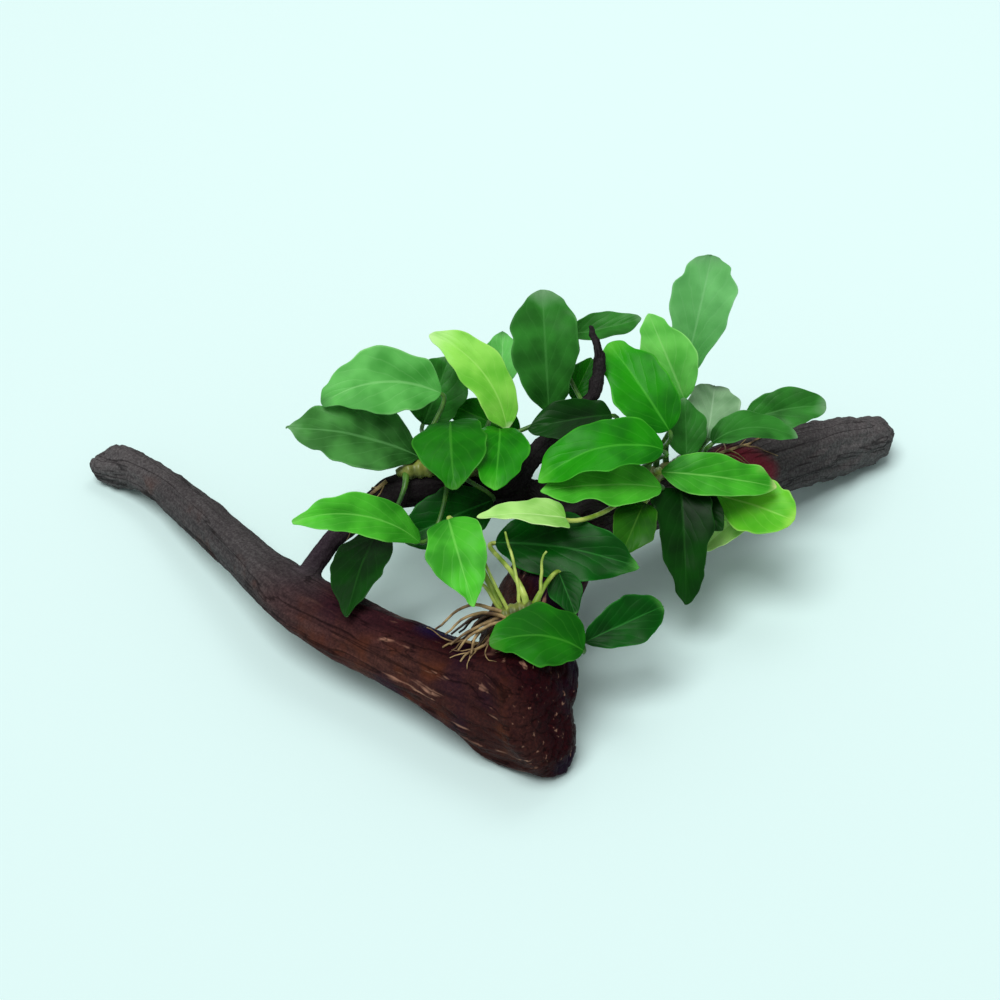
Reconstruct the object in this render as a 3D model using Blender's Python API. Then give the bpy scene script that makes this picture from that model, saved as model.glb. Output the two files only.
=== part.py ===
"""Anubias growing on a V-shaped piece of driftwood: the wood, the creeping stems, their roots and each leaf.

The wood lies on its knotty base and on the tips of its two long arms. X runs to the right, Y to the back
and Z up. The origin is on the resting surface, under the middle of the whole plant.
"""

import math

import bmesh
import bpy
from mathutils import Vector
from mathutils.bvhtree import BVHTree

MM = 0.001
GAP = 0.0003
PLANT = "anubias_on_driftwood"

# From the middle of the drawing's own frame to the origin under the middle of the plant
CENTRING = (2.5, 1.65, 0)

# Wood: its knots are two sets of lobes round each limb, which turn from section to section
LIMB_SIDES = 14
KNOT_DEPTH = 0.06
KNOT_LOBES = (2, 3)
KNOT_TURNS = (0.9, 0.5)
LIMB_STEPS = 2
LEFT_KNOTS = 0.4
RIGHT_KNOTS = 2.1
BRIDGE_KNOTS = 3.3
TWIG_KNOTS = 5.2

# Leaves
BLADE_STATIONS = (0.0, 0.05, 0.14, 0.26, 0.4, 0.54, 0.68, 0.8, 0.9, 0.97, 1.0)
BLADE_THICKNESS = 0.7 * MM
RIB_HEIGHT = 0.9 * MM
RIB_TAPER = 0.6
TIP_HALF_WIDTH = 0.4 * MM
LEFT_RIPPLES = 1.6
RIGHT_RIPPLES = 1.4
LEFT_RIPPLE_START = 9
RIGHT_RIPPLE_START = 17
STALK_RADIUS = 1.0 * MM
STALK_STATIONS = 4
STALK_CORNERS = (150, 90, 30, -30, -90, -150)
PULL_AT_STEM = 0.45
PULL_AT_BLADE = 0.25

# How far along its blade a leaf is widest (as a power) and how square its outline is, for each form of leaf
FORMS = {
    "ovate": (0.84, 0.72),
    "broad": (0.80, 0.60),
    "blunt": (1.25, 0.52),
    "spoon": (2.2, 0.42),
    "wedge": (0.58, 0.75),
    "fan": (0.35, 0.6),
}

# Creeping stems and roots
CROWN_RADIUS = 3.6 * MM
CROWN_SIDES = 8
CROWN_SINK = 1.0 * MM
CROWN_ENDS = (0.55, 0.85)
ROOT_RADIUS = 0.9 * MM
ROOT_TAPER = 0.55
ROOT_SIDES = 6
ROOT_CLEARANCE = 1.1 * MM
CREEPER_STEPS = 3
ABOVE_THE_WOOD = 300 * MM

# Sections of the wood: x, y, z, half width and half height, in millimetres
LEFT_ROUTE = (
    (-179, 84, 8, 4.5, 4.5),
    (-176, 82, 7.5, 7.5, 7.5),
    (-168, 79, 7.5, 9, 10),
    (-157, 70, 12, 8, 8),
    (-143, 55, 15, 8, 8),
    (-123, 26, 21, 9, 9),
    (-104, -1, 24, 10, 10),
    (-86, -23, 25, 12.5, 12),
    (-68, -39, 25, 13, 12.5),
    (-49, -53, 26, 13.5, 13),
    (-31, -64, 26, 15.5, 15.5),
    (-13.5, -75, 25.5, 17, 18.5),
    (2, -83.5, 23.5, 18.5, 24.5),
    (11.5, -91, 23.5, 17.5, 26),
    (16.5, -96, 25.5, 16.5, 25.5),
    (19.5, -98.5, 27, 11, 16),
)
RIGHT_ROUTE = (
    (9, -82, 27, 19, 19),
    (10, -68, 29, 21.5, 19),
    (12, -54, 30, 19, 17.5),
    (17, -31, 32, 16, 15),
    (28, -6, 34, 14, 14),
    (50, 16, 34, 13, 13),
    (80, 37, 31, 14, 13.5),
    (112, 58, 26, 14, 14),
    (144, 81, 17.5, 12.5, 13),
    (158, 90, 12.5, 12, 12.5),
    (168, 97, 11, 10, 10.5),
    (173.8, 100.5, 11, 5.5, 6),
)
BRIDGE_ROUTE = (
    (-84, -30, 24, 6, 6),
    (-80, -22, 29, 5, 5),
    (-68, -7, 40, 4.5, 4.5),
    (-51, 8, 47, 5.5, 5.5),
    (-38, 14, 50, 7.5, 7.5),
    (-14, 16, 49, 7, 7),
    (8, 16, 46, 7, 7),
    (26, 12, 42, 7, 7),
    (42, 8, 36, 7, 7),
)
TWIG_ROUTE = (
    (4, 15, 47, 4, 4),
    (8, 16, 56, 5, 5),
    (15, 18, 66, 4.5, 4.5),
    (28, 21, 78, 3.6, 3.6),
    (38, 25, 91, 2.8, 2.8),
    (40, 31, 104, 2.2, 2.2),
    (36, 38, 115, 1.2, 1.2),
)

# Where each arm leaves the base, and the way across its joint, from the arm to the base on the left and from
# the base to the arm on the right
LEFT_FORK = Vector((-40, -63, 24)) * MM
LEFT_ACROSS = Vector((18, -11, 0)).normalized()
RIGHT_FORK = Vector((15.5, -43, 31)) * MM
RIGHT_ACROSS = Vector((3, 23, 2)).normalized()

# Each creeping stem runs over these x, y places on top of one piece of wood
CROWNS = {
    "left": ("driftwood_bridge_branch", ((-42, 13), (-24, 15), (-6, 16))),
    "right": ("driftwood_right_arm", ((42, 9), (60, 22), (84, 38))),
    "front": ("driftwood_base", ((0, -62), (12, -62), (24, -64))),
}

# Roots: the wood that each one creeps over, and its x, y places in millimetres
ROOTS = (
    ("root_front_left", "driftwood_base", ((-3, -66), (-9, -70), (-16, -70), (-22, -74))),
    ("root_front_middle", "driftwood_base", ((1, -68), (-4, -72), (-10, -76), (-15, -81))),
    ("root_front_right", "driftwood_base", ((14, -70), (12, -74), (9, -78), (6, -82))),
    ("root_back_left", "driftwood_bridge_branch", ((-46, 11), (-52, 7), (-58, 1), (-64, -4))),
    ("root_back_right", "driftwood_right_arm", ((88, 42), (95, 47), (103, 52), (112, 60))),
)

# The leaves of each creeping stem, in millimetres: how far along the stem each grows (0 to 1), the lean of
# its stalk from upright (degrees towards +Y), the foot and the tip of its blade, the blade's width and the
# way its upper face looks, then its arch, sweep to the side, fold (degrees) and wave, and its form
LEFT_LEAVES = {
    "left_upper": (0.3, 25, (-24, 31, 86), (-72, 21, 88), 29, (-0.1, -0.6, 0.8), 0.1, 5.5, 10, 0.9, "ovate"),
    "left_broad": (
        0.12, 10, (-33, 17, 64), (-86, 13, 82),
        28, (-0.2, -0.5, 0.9), 0.05, 2.5, 10, 1.8, "ovate",
    ),
    "left_inner": (0.45, 40, (-32, 45, 59), (-21, 64, 80), 27, (0.1, -0.8, 0.5), 0.05, 0, 12, 1, "ovate"),
    "bright_narrow": (
        0.8, 10, (3, 25, 72), (-29, 51, 101),
        18.5, (0.3, -0.8, 0.5), 0.08, 6.5, 10, 0.8, "ovate",
    ),
    "back_shaded": (0.98, 75, (8, 44, 54), (-21, 56, 61), 18, (0, -0.7, 0.6), 0.04, 0, 10, 0.8, "broad"),
    "pale_behind": (0.9, 45, (1, 53, 74), (1, 72, 87), 17, (0, -0.8, 0.5), 0.04, 0, 10, 0.6, "ovate"),
    "centre_upright": (0.98, 35, (20, 31, 76), (17, 57, 119), 29, (0, -0.8, 0.6), 0.06, 0, 10, 1.2, "blunt"),
    "left_low": (0.55, -75, (-32, -20, 50), (-82, -25, 65), 18, (0, -0.6, 0.8), 0.1, 6, 12, 0.8, "ovate"),
    "left_hanging": (
        0.1, -85, (-49, -8, 45), (-60, -54, 41),
        24, (-0.3, -0.6, 0.7), 0.08, 0, 10, 1, "ovate",
    ),
    "left_shaded": (0.64, -75, (-3, 4, 52), (-40, -9, 42), 25, (0.1, -0.6, 0.8), 0.04, 0, 10, 0.8, "ovate"),
    "front_round": (0.5, -20, (-20, 19, 81), (-18, -18, 76), 30, (-0.1, -0.3, 1), 0.12, 0, 8, 1, "broad"),
    "front_second": (0.72, -25, (0, 20, 77), (-2, -16, 74), 23.5, (0.1, -0.3, 1), 0.12, 0, 8, 1, "broad"),
}
RIGHT_LEAVES = {
    "centre_dark": (0.06, 10, (45, 16, 87), (11, 10, 84), 19, (-0.1, -0.5, 0.8), 0.06, 0, 12, 0.8, "ovate"),
    "centre_small": (0.1, 40, (30, 40, 76), (38, 52, 88), 13, (0, -0.8, 0.6), 0.05, 0, 10, 0.5, "ovate"),
    "back_spiked": (0.22, 30, (29, 56, 98), (58, 61, 102), 14, (0, -0.4, 0.95), -0.06, 0, 14, 1, "broad"),
    "tall_right": (0.7, 25, (74, 45, 72), (86, 67, 129), 26.5, (0, -0.8, 0.5), 0.04, 0, 8, 1.4, "spoon"),
    "tall_right_front": (0.6, 15, (76, 38, 77), (60, 47, 114), 24, (0, -0.8, 0.5), 0.04, 0, 8, 0.8, "ovate"),
    "right_leaning": (0.5, 0, (68, 13, 81), (44, 45, 101), 25.5, (0, -0.6, 0.8), 0.08, 0, 10, 0.9, "broad"),
    "right_dark": (0.78, -5, (76, 15, 65), (75, 32, 83), 17, (0.2, -0.8, 0.5), 0.04, 0, 10, 0.5, "ovate"),
    "right_grey": (0.86, 5, (85, 27, 66), (90, 57, 70), 22, (0.1, -0.4, 0.9), 0.05, 0, 10, 1, "blunt"),
    "far_right": (0.99, 10, (98, 41, 61), (136, 47, 67), 19, (0, -0.6, 0.8), 0.06, -2, 12, 1.2, "blunt"),
    "far_right_lower": (
        0.93, -40, (86, 17, 72), (122, 25, 68),
        16, (0, -0.2, 0.95), 0.05, -5, 12, 1, "ovate",
    ),
    "middle_broad": (0.4, -10, (65, 1, 81), (15, -11, 74), 24, (-0.1, -0.4, 0.9), 0.1, 5, 12, 1.2, "broad"),
    "middle_lower": (0.3, -35, (65, -1, 63), (16, -13, 71), 22, (0, -0.3, 0.95), 0.06, 0, 10, 1.4, "ovate"),
    "right_bright": (0.58, -35, (65, 5, 66), (112, 3, 60), 19, (0.1, -0.5, 0.85), 0.05, 0, 10, 1, "ovate"),
    "right_yellow": (0.8, -40, (88, 16, 45), (119, -5, 49), 25, (0, -0.5, 0.85), 0.06, 0, 8, 1.6, "blunt"),
    "right_yellow_low": (
        0.93, -80, (103, 14, 39), (82, -4, 32),
        14, (0, -0.5, 0.85), 0.05, 0, 8, 1, "ovate",
    ),
    "hanging_right": (0.66, -60, (73, 3, 59), (75, -30, 25), 26, (0.1, -0.9, 0.4), 0.08, 0, 12, 1, "fan"),
    "hanging_short": (0.72, -60, (79, 5, 52), (90, -9, 47), 14, (0.2, -0.8, 0.5), 0.05, 0, 10, 0.6, "ovate"),
    "olive_inner": (0.52, -75, (58, -6, 59), (48, -30, 52), 18, (0, -0.5, 0.85), 0.06, 0, 10, 0.8, "broad"),
    "pale_edge": (0.1, -58, (26, -25, 67), (-9, -32, 74), 19, (0, 0, 1), 0.04, 0, 10, 1.2, "fan"),
}
FRONT_LEAVES = {
    "front_hanging": (0.1, 40, (-20, -36, 76), (-10, -70, 61), 24, (0, -0.8, 0.6), 0.08, 0, 8, 1, "wedge"),
    "front_long": (0.45, 15, (-2, -22, 52), (55, -36, 51), 28, (0, -0.6, 0.8), 0.04, -2, 8, 1.2, "ovate"),
    "low_front": (0.84, 78, (32, -77, 45), (-4, -80, 51), 30, (0, -0.2, 1), 0.08, 3.5, 8, 1, "broad"),
    "low_right": (0.98, 80, (33, -63, 36), (64, -49, 42), 19.5, (0.1, -0.6, 0.8), 0.08, 0, 10, 0.8, "blunt"),
    "low_shaded": (0.52, 16, (23, -45, 56), (29, -61, 49), 14, (0, -0.5, 0.8), 0.05, 0, 10, 0.6, "broad"),
}
LEAVES = {"left": LEFT_LEAVES, "right": RIGHT_LEAVES, "front": FRONT_LEAVES}


def clear_scene():
    for obj in list(bpy.data.objects):
        bpy.data.objects.remove(obj, do_unlink=True)


def add_centre():
    """An empty that carries every piece and stands the plant over the origin."""
    centre = bpy.data.objects.new(PLANT, None)
    centre.location = Vector(CENTRING) * MM
    centre.empty_display_size = 0.02
    bpy.context.scene.collection.objects.link(centre)


def finish(name, colour, roughness):
    material = bpy.data.materials.new(name)
    material.use_nodes = True
    shader = material.node_tree.nodes["Principled BSDF"]
    shader.inputs["Base Color"].default_value = (*colour, 1)
    shader.inputs["Roughness"].default_value = roughness
    shader.inputs["Metallic"].default_value = 0
    return material


def add_object(name, bm, material):
    bmesh.ops.recalc_face_normals(bm, faces=bm.faces)
    mesh = bpy.data.meshes.new(name)
    bm.to_mesh(mesh)
    bm.free()
    mesh.materials.append(material)
    mesh.shade_smooth()
    obj = bpy.data.objects.new(name, mesh)
    obj.parent = bpy.data.objects[PLANT]
    bpy.context.scene.collection.objects.link(obj)
    return obj


def skin(rings):
    """A closed solid through rings of points, each ring with the same number of points."""
    bm = bmesh.new()
    rows = [[bm.verts.new(point) for point in ring] for ring in rings]
    count = len(rows[0])
    for one, two in zip(rows, rows[1:]):
        for i in range(count):
            j = (i + 1) % count
            bm.faces.new((one[i], one[j], two[j], two[i]))
    bm.faces.new(rows[0])
    bm.faces.new(rows[-1])
    return bm


def smooth_route(route, steps):
    """Points on a smooth curve through the route's own points, steps to each span."""
    points = [Vector(row) for row in route]
    padded = [points[0] * 2 - points[1], *points, points[-1] * 2 - points[-2]]
    found = []
    for a, b, c, d in zip(padded, padded[1:], padded[2:], padded[3:]):
        bend = 2 * a - 5 * b + 4 * c - d
        twist = 3 * b - a - 3 * c + d
        for step in range(steps):
            t = step / steps
            found.append(0.5 * (2 * b + (c - a) * t + bend * t**2 + twist * t**3))
    return [*found, points[-1]]


def knots_at(section, turn, knots):
    """How far the wood stands out at this angle of a section, where 1 is its plain oval."""
    first = math.sin(KNOT_LOBES[0] * turn + knots + KNOT_TURNS[0] * section)
    second = math.sin(KNOT_LOBES[1] * turn - knots * 2 + KNOT_TURNS[1] * section)
    return 1 + KNOT_DEPTH * (first + second)


def limb_solid(route, knots):
    """A knotty length of wood through the route's sections, flat underneath where it meets the surface."""
    sections = smooth_route(route, LIMB_STEPS)
    centres = [row.to_3d() * MM for row in sections]
    rings = []
    for i, row in enumerate(sections):
        ahead = centres[min(i + 1, len(centres) - 1)]
        behind = centres[max(i - 1, 0)]
        along = (ahead - behind).normalized()
        side = along.cross(Vector((0, 0, 1))).normalized()
        up = side.cross(along)
        ring = []
        for k in range(LIMB_SIDES):
            turn = 2 * math.pi * k / LIMB_SIDES
            size = knots_at(i, turn, knots) * MM
            sideways = side * (row[3] * size * math.cos(turn))
            upwards = up * (row[4] * size * math.sin(turn))
            point = centres[i] + sideways + upwards
            point.z = max(point.z, 0)
            ring.append(point)
        rings.append(ring)
    return skin(rings)


def saw(bm, place, along):
    """Cuts the solid with a plane, keeps the side that the plane faces and closes the cut."""
    everything = [*bm.verts, *bm.edges, *bm.faces]
    cut = bmesh.ops.bisect_plane(
        bm, geom=everything, plane_co=place, plane_no=along, clear_inner=True, dist=1e-6
    )
    rim = [item for item in cut["geom_cut"] if isinstance(item, bmesh.types.BMEdge)]
    bmesh.ops.holes_fill(bm, edges=rim, sides=0)
    return bm


def hide_tool(obj):
    obj.hide_render = True
    obj.display_type = "WIRE"


def combine(obj, tool, operation):
    modifier = obj.modifiers.new(operation.title(), "BOOLEAN")
    modifier.object = tool
    modifier.operation = operation
    modifier.solver = "EXACT"


def clearance_of(obj):
    """A copy of a piece that stands a hair proud all over, to cut the seat of what rests against it."""
    tool = obj.copy()
    tool.name = obj.name + "_clearance"
    bpy.context.scene.collection.objects.link(tool)
    grow = tool.modifiers.new("Clearance", "DISPLACE")
    grow.direction = "NORMAL"
    grow.mid_level = 0
    grow.strength = GAP
    hide_tool(tool)
    return tool


def build_wood(bark):
    left_half_gap = LEFT_ACROSS * GAP / 2
    right_half_gap = RIGHT_ACROSS * GAP / 2

    arm = saw(limb_solid(LEFT_ROUTE, LEFT_KNOTS), LEFT_FORK - left_half_gap, -LEFT_ACROSS)
    left_arm = add_object("driftwood_left_arm", arm, bark)

    trunk = saw(limb_solid(LEFT_ROUTE, LEFT_KNOTS), LEFT_FORK + left_half_gap, LEFT_ACROSS)
    base = add_object("driftwood_base", trunk, bark)
    stub = saw(limb_solid(RIGHT_ROUTE, RIGHT_KNOTS), RIGHT_FORK - right_half_gap, -RIGHT_ACROSS)
    shoulder = add_object("base_shoulder", stub, bark)
    hide_tool(shoulder)
    combine(base, shoulder, "UNION")

    arm = saw(limb_solid(RIGHT_ROUTE, RIGHT_KNOTS), RIGHT_FORK + right_half_gap, RIGHT_ACROSS)
    right_arm = add_object("driftwood_right_arm", arm, bark)

    bridge = add_object("driftwood_bridge_branch", limb_solid(BRIDGE_ROUTE, BRIDGE_KNOTS), bark)
    combine(bridge, clearance_of(left_arm), "DIFFERENCE")
    combine(bridge, clearance_of(right_arm), "DIFFERENCE")

    twig = add_object("driftwood_twig", limb_solid(TWIG_ROUTE, TWIG_KNOTS), bark)
    combine(twig, clearance_of(bridge), "DIFFERENCE")
    return {obj.name: obj for obj in (left_arm, base, right_arm, bridge, twig)}


def surface_of(obj):
    bpy.context.view_layer.update()
    return BVHTree.FromObject(obj, bpy.context.evaluated_depsgraph_get())


def lay_on(tree, place, lift):
    """A point over the x, y place, at the given distance out from the wood's upper surface."""
    start = Vector((place[0] * MM, place[1] * MM, ABOVE_THE_WOOD))
    hit, normal, _, _ = tree.ray_cast(start, Vector((0, 0, -1)))
    return hit + normal * lift


def tube(points, radii, sides):
    rings = []
    for i, point in enumerate(points):
        along = (points[min(i + 1, len(points) - 1)] - points[max(i - 1, 0)]).normalized()
        side = along.cross(Vector((0, 0, 1))).normalized()
        up = side.cross(along)
        turns = [2 * math.pi * k / sides for k in range(sides)]
        corners = [side * math.cos(turn) + up * math.sin(turn) for turn in turns]
        rings.append([point + corner * radii[i] for corner in corners])
    return skin(rings)


def crown_line(wood, name):
    carrier, places = CROWNS[name]
    tree = surface_of(wood[carrier])
    laid = [lay_on(tree, place, CROWN_RADIUS - CROWN_SINK) for place in places]
    return smooth_route(laid, CREEPER_STEPS)


def build_crown(wood, name, line, skin_finish):
    radii = [CROWN_RADIUS] * len(line)
    for i, share in enumerate(CROWN_ENDS):
        radii[i] = CROWN_RADIUS * share
        radii[-1 - i] = CROWN_RADIUS * share
    crown = add_object(f"creeping_stem_{name}", tube(line, radii, CROWN_SIDES), skin_finish)
    combine(crown, clearance_of(wood[CROWNS[name][0]]), "DIFFERENCE")


def build_root(wood, name, carrier, places, skin_finish):
    tree = surface_of(wood[carrier])
    fine = smooth_route([(*place, 0) for place in places], CREEPER_STEPS)
    laid = [lay_on(tree, place, ROOT_RADIUS + ROOT_CLEARANCE) for place in fine]
    radii = [ROOT_RADIUS * (1 - ROOT_TAPER * i / (len(laid) - 1)) for i in range(len(laid))]
    add_object(name, tube(laid, radii, ROOT_SIDES), skin_finish)


def point_along(line, share):
    """A place on the line of a creeping stem and the line's direction there."""
    spot = share * (len(line) - 1)
    first = min(int(spot), len(line) - 2)
    along = line[first + 1] - line[first]
    return line[first] + along * (spot - first), along.normalized()


def blade_outline(form, t):
    skew, squareness = FORMS[form]
    return math.sin(math.pi * t**skew) ** squareness if 0 < t < 1 else 0


def blade_rings(leaf):
    """Six points to a section, so each half of the blade is flat across, with a rib under its middle."""
    share, _, foot, tip, width, facing, arch, sweep, fold, wave, form = leaf
    foot = Vector(foot) * MM
    reach = Vector(tip) * MM - foot
    length = reach.length
    along = reach / length
    face = Vector(facing)
    face = (face - along * face.dot(along)).normalized()
    side = along.cross(face)
    bulge = face * (arch * length * 4) + side * (sweep * MM * 4)
    rise = math.radians(fold)

    rings = []
    for t in BLADE_STATIONS:
        middle = foot + reach * t + bulge * (t * (1 - t))
        slope = (reach + bulge * (1 - 2 * t)).normalized()
        across = (side - slope * side.dot(slope)).normalized()
        out = across.cross(slope)
        fullness = blade_outline(form, t)
        half = max(width * MM / 2 * fullness, STALK_RADIUS if t < 0.5 else TIP_HALF_WIDTH)
        ripple = wave * MM * fullness
        left_lift = ripple * math.sin(2 * math.pi * LEFT_RIPPLES * t + share * LEFT_RIPPLE_START)
        right_lift = ripple * math.sin(2 * math.pi * RIGHT_RIPPLES * t + share * RIGHT_RIPPLE_START)
        left = middle - across * (half * math.cos(rise)) + out * (half * math.sin(rise) + left_lift)
        right = middle + across * (half * math.cos(rise)) + out * (half * math.sin(rise) + right_lift)
        edge = out * (BLADE_THICKNESS / 2)
        rib = out * (RIB_HEIGHT * (1 - RIB_TAPER * t))
        rings.append([left + edge, middle + edge, right + edge, right - edge, middle - rib, left - edge])
    return rings, foot, (reach + bulge).normalized(), side


def stalk_start(line, share, lean):
    """Where a stalk leaves its creeping stem, and which way."""
    place, stem_along = point_along(line, share)
    upright = (Vector((0, 0, 1)) - stem_along * stem_along.z).normalized()
    across = upright.cross(stem_along).normalized()
    if across.y < 0:
        across = -across
    lean_by = math.radians(lean)
    outward = (upright * math.cos(lean_by) + across * math.sin(lean_by)).normalized()
    return place + outward * (CROWN_RADIUS + GAP), outward


def stalk_rings(start, outward, foot, foot_slope, side):
    """Sections from the creeping stem to the blade, turned so that the last one lines up with the blade."""
    reach = (foot - start).length
    a = start
    b = start + outward * (reach * PULL_AT_STEM)
    c = foot - foot_slope * (reach * PULL_AT_BLADE)
    d = foot
    rings = []
    for i in reversed(range(STALK_STATIONS)):
        t = i / STALK_STATIONS
        point = a * (1 - t) ** 3 + b * 3 * t * (1 - t) ** 2 + c * 3 * t**2 * (1 - t) + d * t**3
        slope = (b - a) * (1 - t) ** 2 + (c - b) * 2 * t * (1 - t) + (d - c) * t**2
        slope.normalize()
        side = (side - slope * side.dot(slope)).normalized()
        out = side.cross(slope)
        turns = [math.radians(angle) for angle in STALK_CORNERS]
        corners = [side * math.cos(turn) + out * math.sin(turn) for turn in turns]
        rings.append([point + corner * STALK_RADIUS for corner in corners])
    return reversed(rings)


def leaf_solid(line, leaf):
    blade, foot, foot_slope, side = blade_rings(leaf)
    start, outward = stalk_start(line, leaf[0], leaf[1])
    return skin([*stalk_rings(start, outward, foot, foot_slope, side), *blade])


def build_leaves(lines, leaf_finish):
    for stem, leaves in LEAVES.items():
        for name, leaf in leaves.items():
            add_object(f"leaf_{name}", leaf_solid(lines[stem], leaf), leaf_finish)


def main():
    clear_scene()
    add_centre()
    bark = finish("wet_bark", (0.045, 0.022, 0.018), 0.45)
    green = finish("leaf_green", (0.05, 0.22, 0.03), 0.4)
    stem_skin = finish("stem_skin", (0.22, 0.24, 0.07), 0.6)
    root_skin = finish("root_skin", (0.24, 0.17, 0.07), 0.7)

    wood = build_wood(bark)
    lines = {name: crown_line(wood, name) for name in CROWNS}
    for name, line in lines.items():
        build_crown(wood, name, line, stem_skin)
    for name, carrier, places in ROOTS:
        build_root(wood, name, carrier, places, root_skin)
    build_leaves(lines, green)


main()
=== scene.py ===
"""The looks of an anubias on driftwood: bark, creeping stems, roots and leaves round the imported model.

Lengths are in metres unless a name or a comment says millimetres.
"""

import math

import bmesh
import bpy
import numpy as np
from mathutils import Matrix, Vector, noise
from mathutils.bvhtree import BVHTree


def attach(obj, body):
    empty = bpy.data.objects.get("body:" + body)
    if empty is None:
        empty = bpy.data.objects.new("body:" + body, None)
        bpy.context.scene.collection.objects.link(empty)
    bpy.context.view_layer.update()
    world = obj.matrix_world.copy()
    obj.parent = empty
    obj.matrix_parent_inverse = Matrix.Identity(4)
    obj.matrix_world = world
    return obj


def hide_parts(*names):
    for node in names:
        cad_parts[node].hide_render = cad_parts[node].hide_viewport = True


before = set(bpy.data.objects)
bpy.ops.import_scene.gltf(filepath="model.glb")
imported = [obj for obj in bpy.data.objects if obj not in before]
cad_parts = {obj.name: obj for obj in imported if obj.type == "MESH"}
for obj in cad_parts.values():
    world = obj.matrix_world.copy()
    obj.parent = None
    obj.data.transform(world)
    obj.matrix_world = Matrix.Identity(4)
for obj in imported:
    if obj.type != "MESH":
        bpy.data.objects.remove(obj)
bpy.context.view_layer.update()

MM = 0.001

# The plant's drawing has its own origin, and this moves it to the frame's
CENTRING = Vector((2.5, 1.65, 0)) * MM

# Camera: the photograph looks down at the plant with a long lens
TARGET = Vector((2.5, -6.35, 62)) * MM
CAMERA_DISTANCE = 944.4 * MM
CAMERA_ELEVATION = math.radians(40)
LENS = 85

# Driftwood
WOOD_NODES = (
    "driftwood_base",
    "driftwood_left_arm",
    "driftwood_right_arm",
    "driftwood_bridge_branch",
    "driftwood_twig",
)
WOOD_VOXEL = 0.88 * MM
WOOD_SMOOTHING = 8
LUMP_DEPTH = 1.6 * MM
FIBRE_DEPTH = 0.5 * MM
CRACK_DEPTH = 0.6 * MM
WELD = 0.01 * MM
WORN_BELOW = 0.3 * MM
LUMP_SIZE = 16 * MM
RAGGED_END_SIZE = 5 * MM
RAGGED_END_DEPTH = 2.2 * MM
ARM_END_STARTS_MM = 215
ARM_END_FADES_IN_MM = 20

# Fibres of two sizes, each with its fineness along and across the grain and its share of their height, then
# the cracks
FIBRES = ((0.05, 0.42, 0.55), (0.11, 0.9, 0.3))
CRACK_FINENESS = (0.018, 0.16)
CRACK_SHIFT = 7
CRACK_EDGE = 0.09

# The middle lines of the limbs, from the base outwards: how far from the base each one starts, then x, y, z
# and the limb's radius, in millimetres
LIMB_LINES = {
    "left": (
        0,
        (
            (19.5, -98.5, 27, 13), (16.5, -96, 25.5, 21), (11.5, -91, 23.5, 22), (2, -83.5, 23.5, 21),
            (-13.5, -75, 25.5, 18),
            (-31, -64, 26, 15), (-49, -53, 26, 13), (-68, -39, 25, 13), (-86, -23, 25, 12),
            (-104, -1, 24, 10), (-123, 26, 21, 9), (-143, 55, 15, 8), (-157, 70, 12, 8),
            (-168, 79, 7.5, 9), (-179, 84, 8, 4.5),
        ),
    ),
    "right": (
        20,
        (
            (9, -82, 27, 19), (10, -68, 29, 20), (12, -54, 30, 18), (17, -31, 32, 16),
            (28, -6, 34, 14), (50, 16, 34, 13), (80, 37, 31, 14), (112, 58, 26, 14),
            (144, 81, 17.5, 12.5), (158, 90, 12.5, 12), (168, 97, 11, 10), (174, 100.5, 11, 6),
        ),
    ),
    "bridge": (
        130,
        (
            (-84, -30, 24, 6), (-80, -22, 29, 5), (-68, -7, 40, 4.5), (-51, 8, 47, 5.5),
            (-38, 14, 50, 7.5), (-14, 16, 49, 7), (8, 16, 46, 7), (26, 12, 42, 7), (42, 8, 36, 7),
        ),
    ),
    "twig": (
        230,
        (
            (4, 15, 47, 4), (8, 16, 56, 5), (15, 18, 66, 4.5), (28, 21, 78, 3.6),
            (38, 25, 91, 2.8), (40, 31, 104, 2.2), (36, 38, 115, 1.2),
        ),
    ),
}
THIN_LIMBS = ("bridge", "twig")
THIN_LIMBS_SMOOTHER = 0.6
LIMB_BLEND_MM = 3.0
LIMB_STEPS = 3

# Creeping stems and roots
CROWN_RADIUS = 3.6 * MM
CROWN_SINK = 1.0 * MM
CREEPER_STEPS = 3
ABOVE_THE_WOOD = 300 * MM
STEM_STEPS = 6
STEM_END = 0.35
STEM_END_RISE = 5.5
STEM_SIDES = 6
SCARS_PER_STEM = 9
SCAR_SWELL = 0.16
KNOB_SIZE = 4 * MM
KNOB_DEPTH = 1.0 * MM
ROOT_RADIUS = 0.9 * MM
ROOT_TAPER = 0.6
ROOT_SINK = 0.7
SIDE_ROOTS = 6
SIDE_ROOT_RADIUS = 0.35 * MM
SIDE_ROOT_TAPER = 0.7
SIDE_ROOT_SINK = 0.6
SIDE_ROOT_LENGTHS = (5, 6, 7, 8)
ROOT_STEP = 2.2 * MM
ROOT_SWAY = 1.1
ROOT_SWAY_PACE = 0.45
ROOT_TURN = 0.5
SEED_STRIDE = 3.7
STRAND_RADIUS = 0.7 * MM
STRAND_STEPS = 4
STRAND_SWAY_MM = 0.9
STRAND_SWAY_PACE = 160
SWAY_SEED = 5

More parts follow.
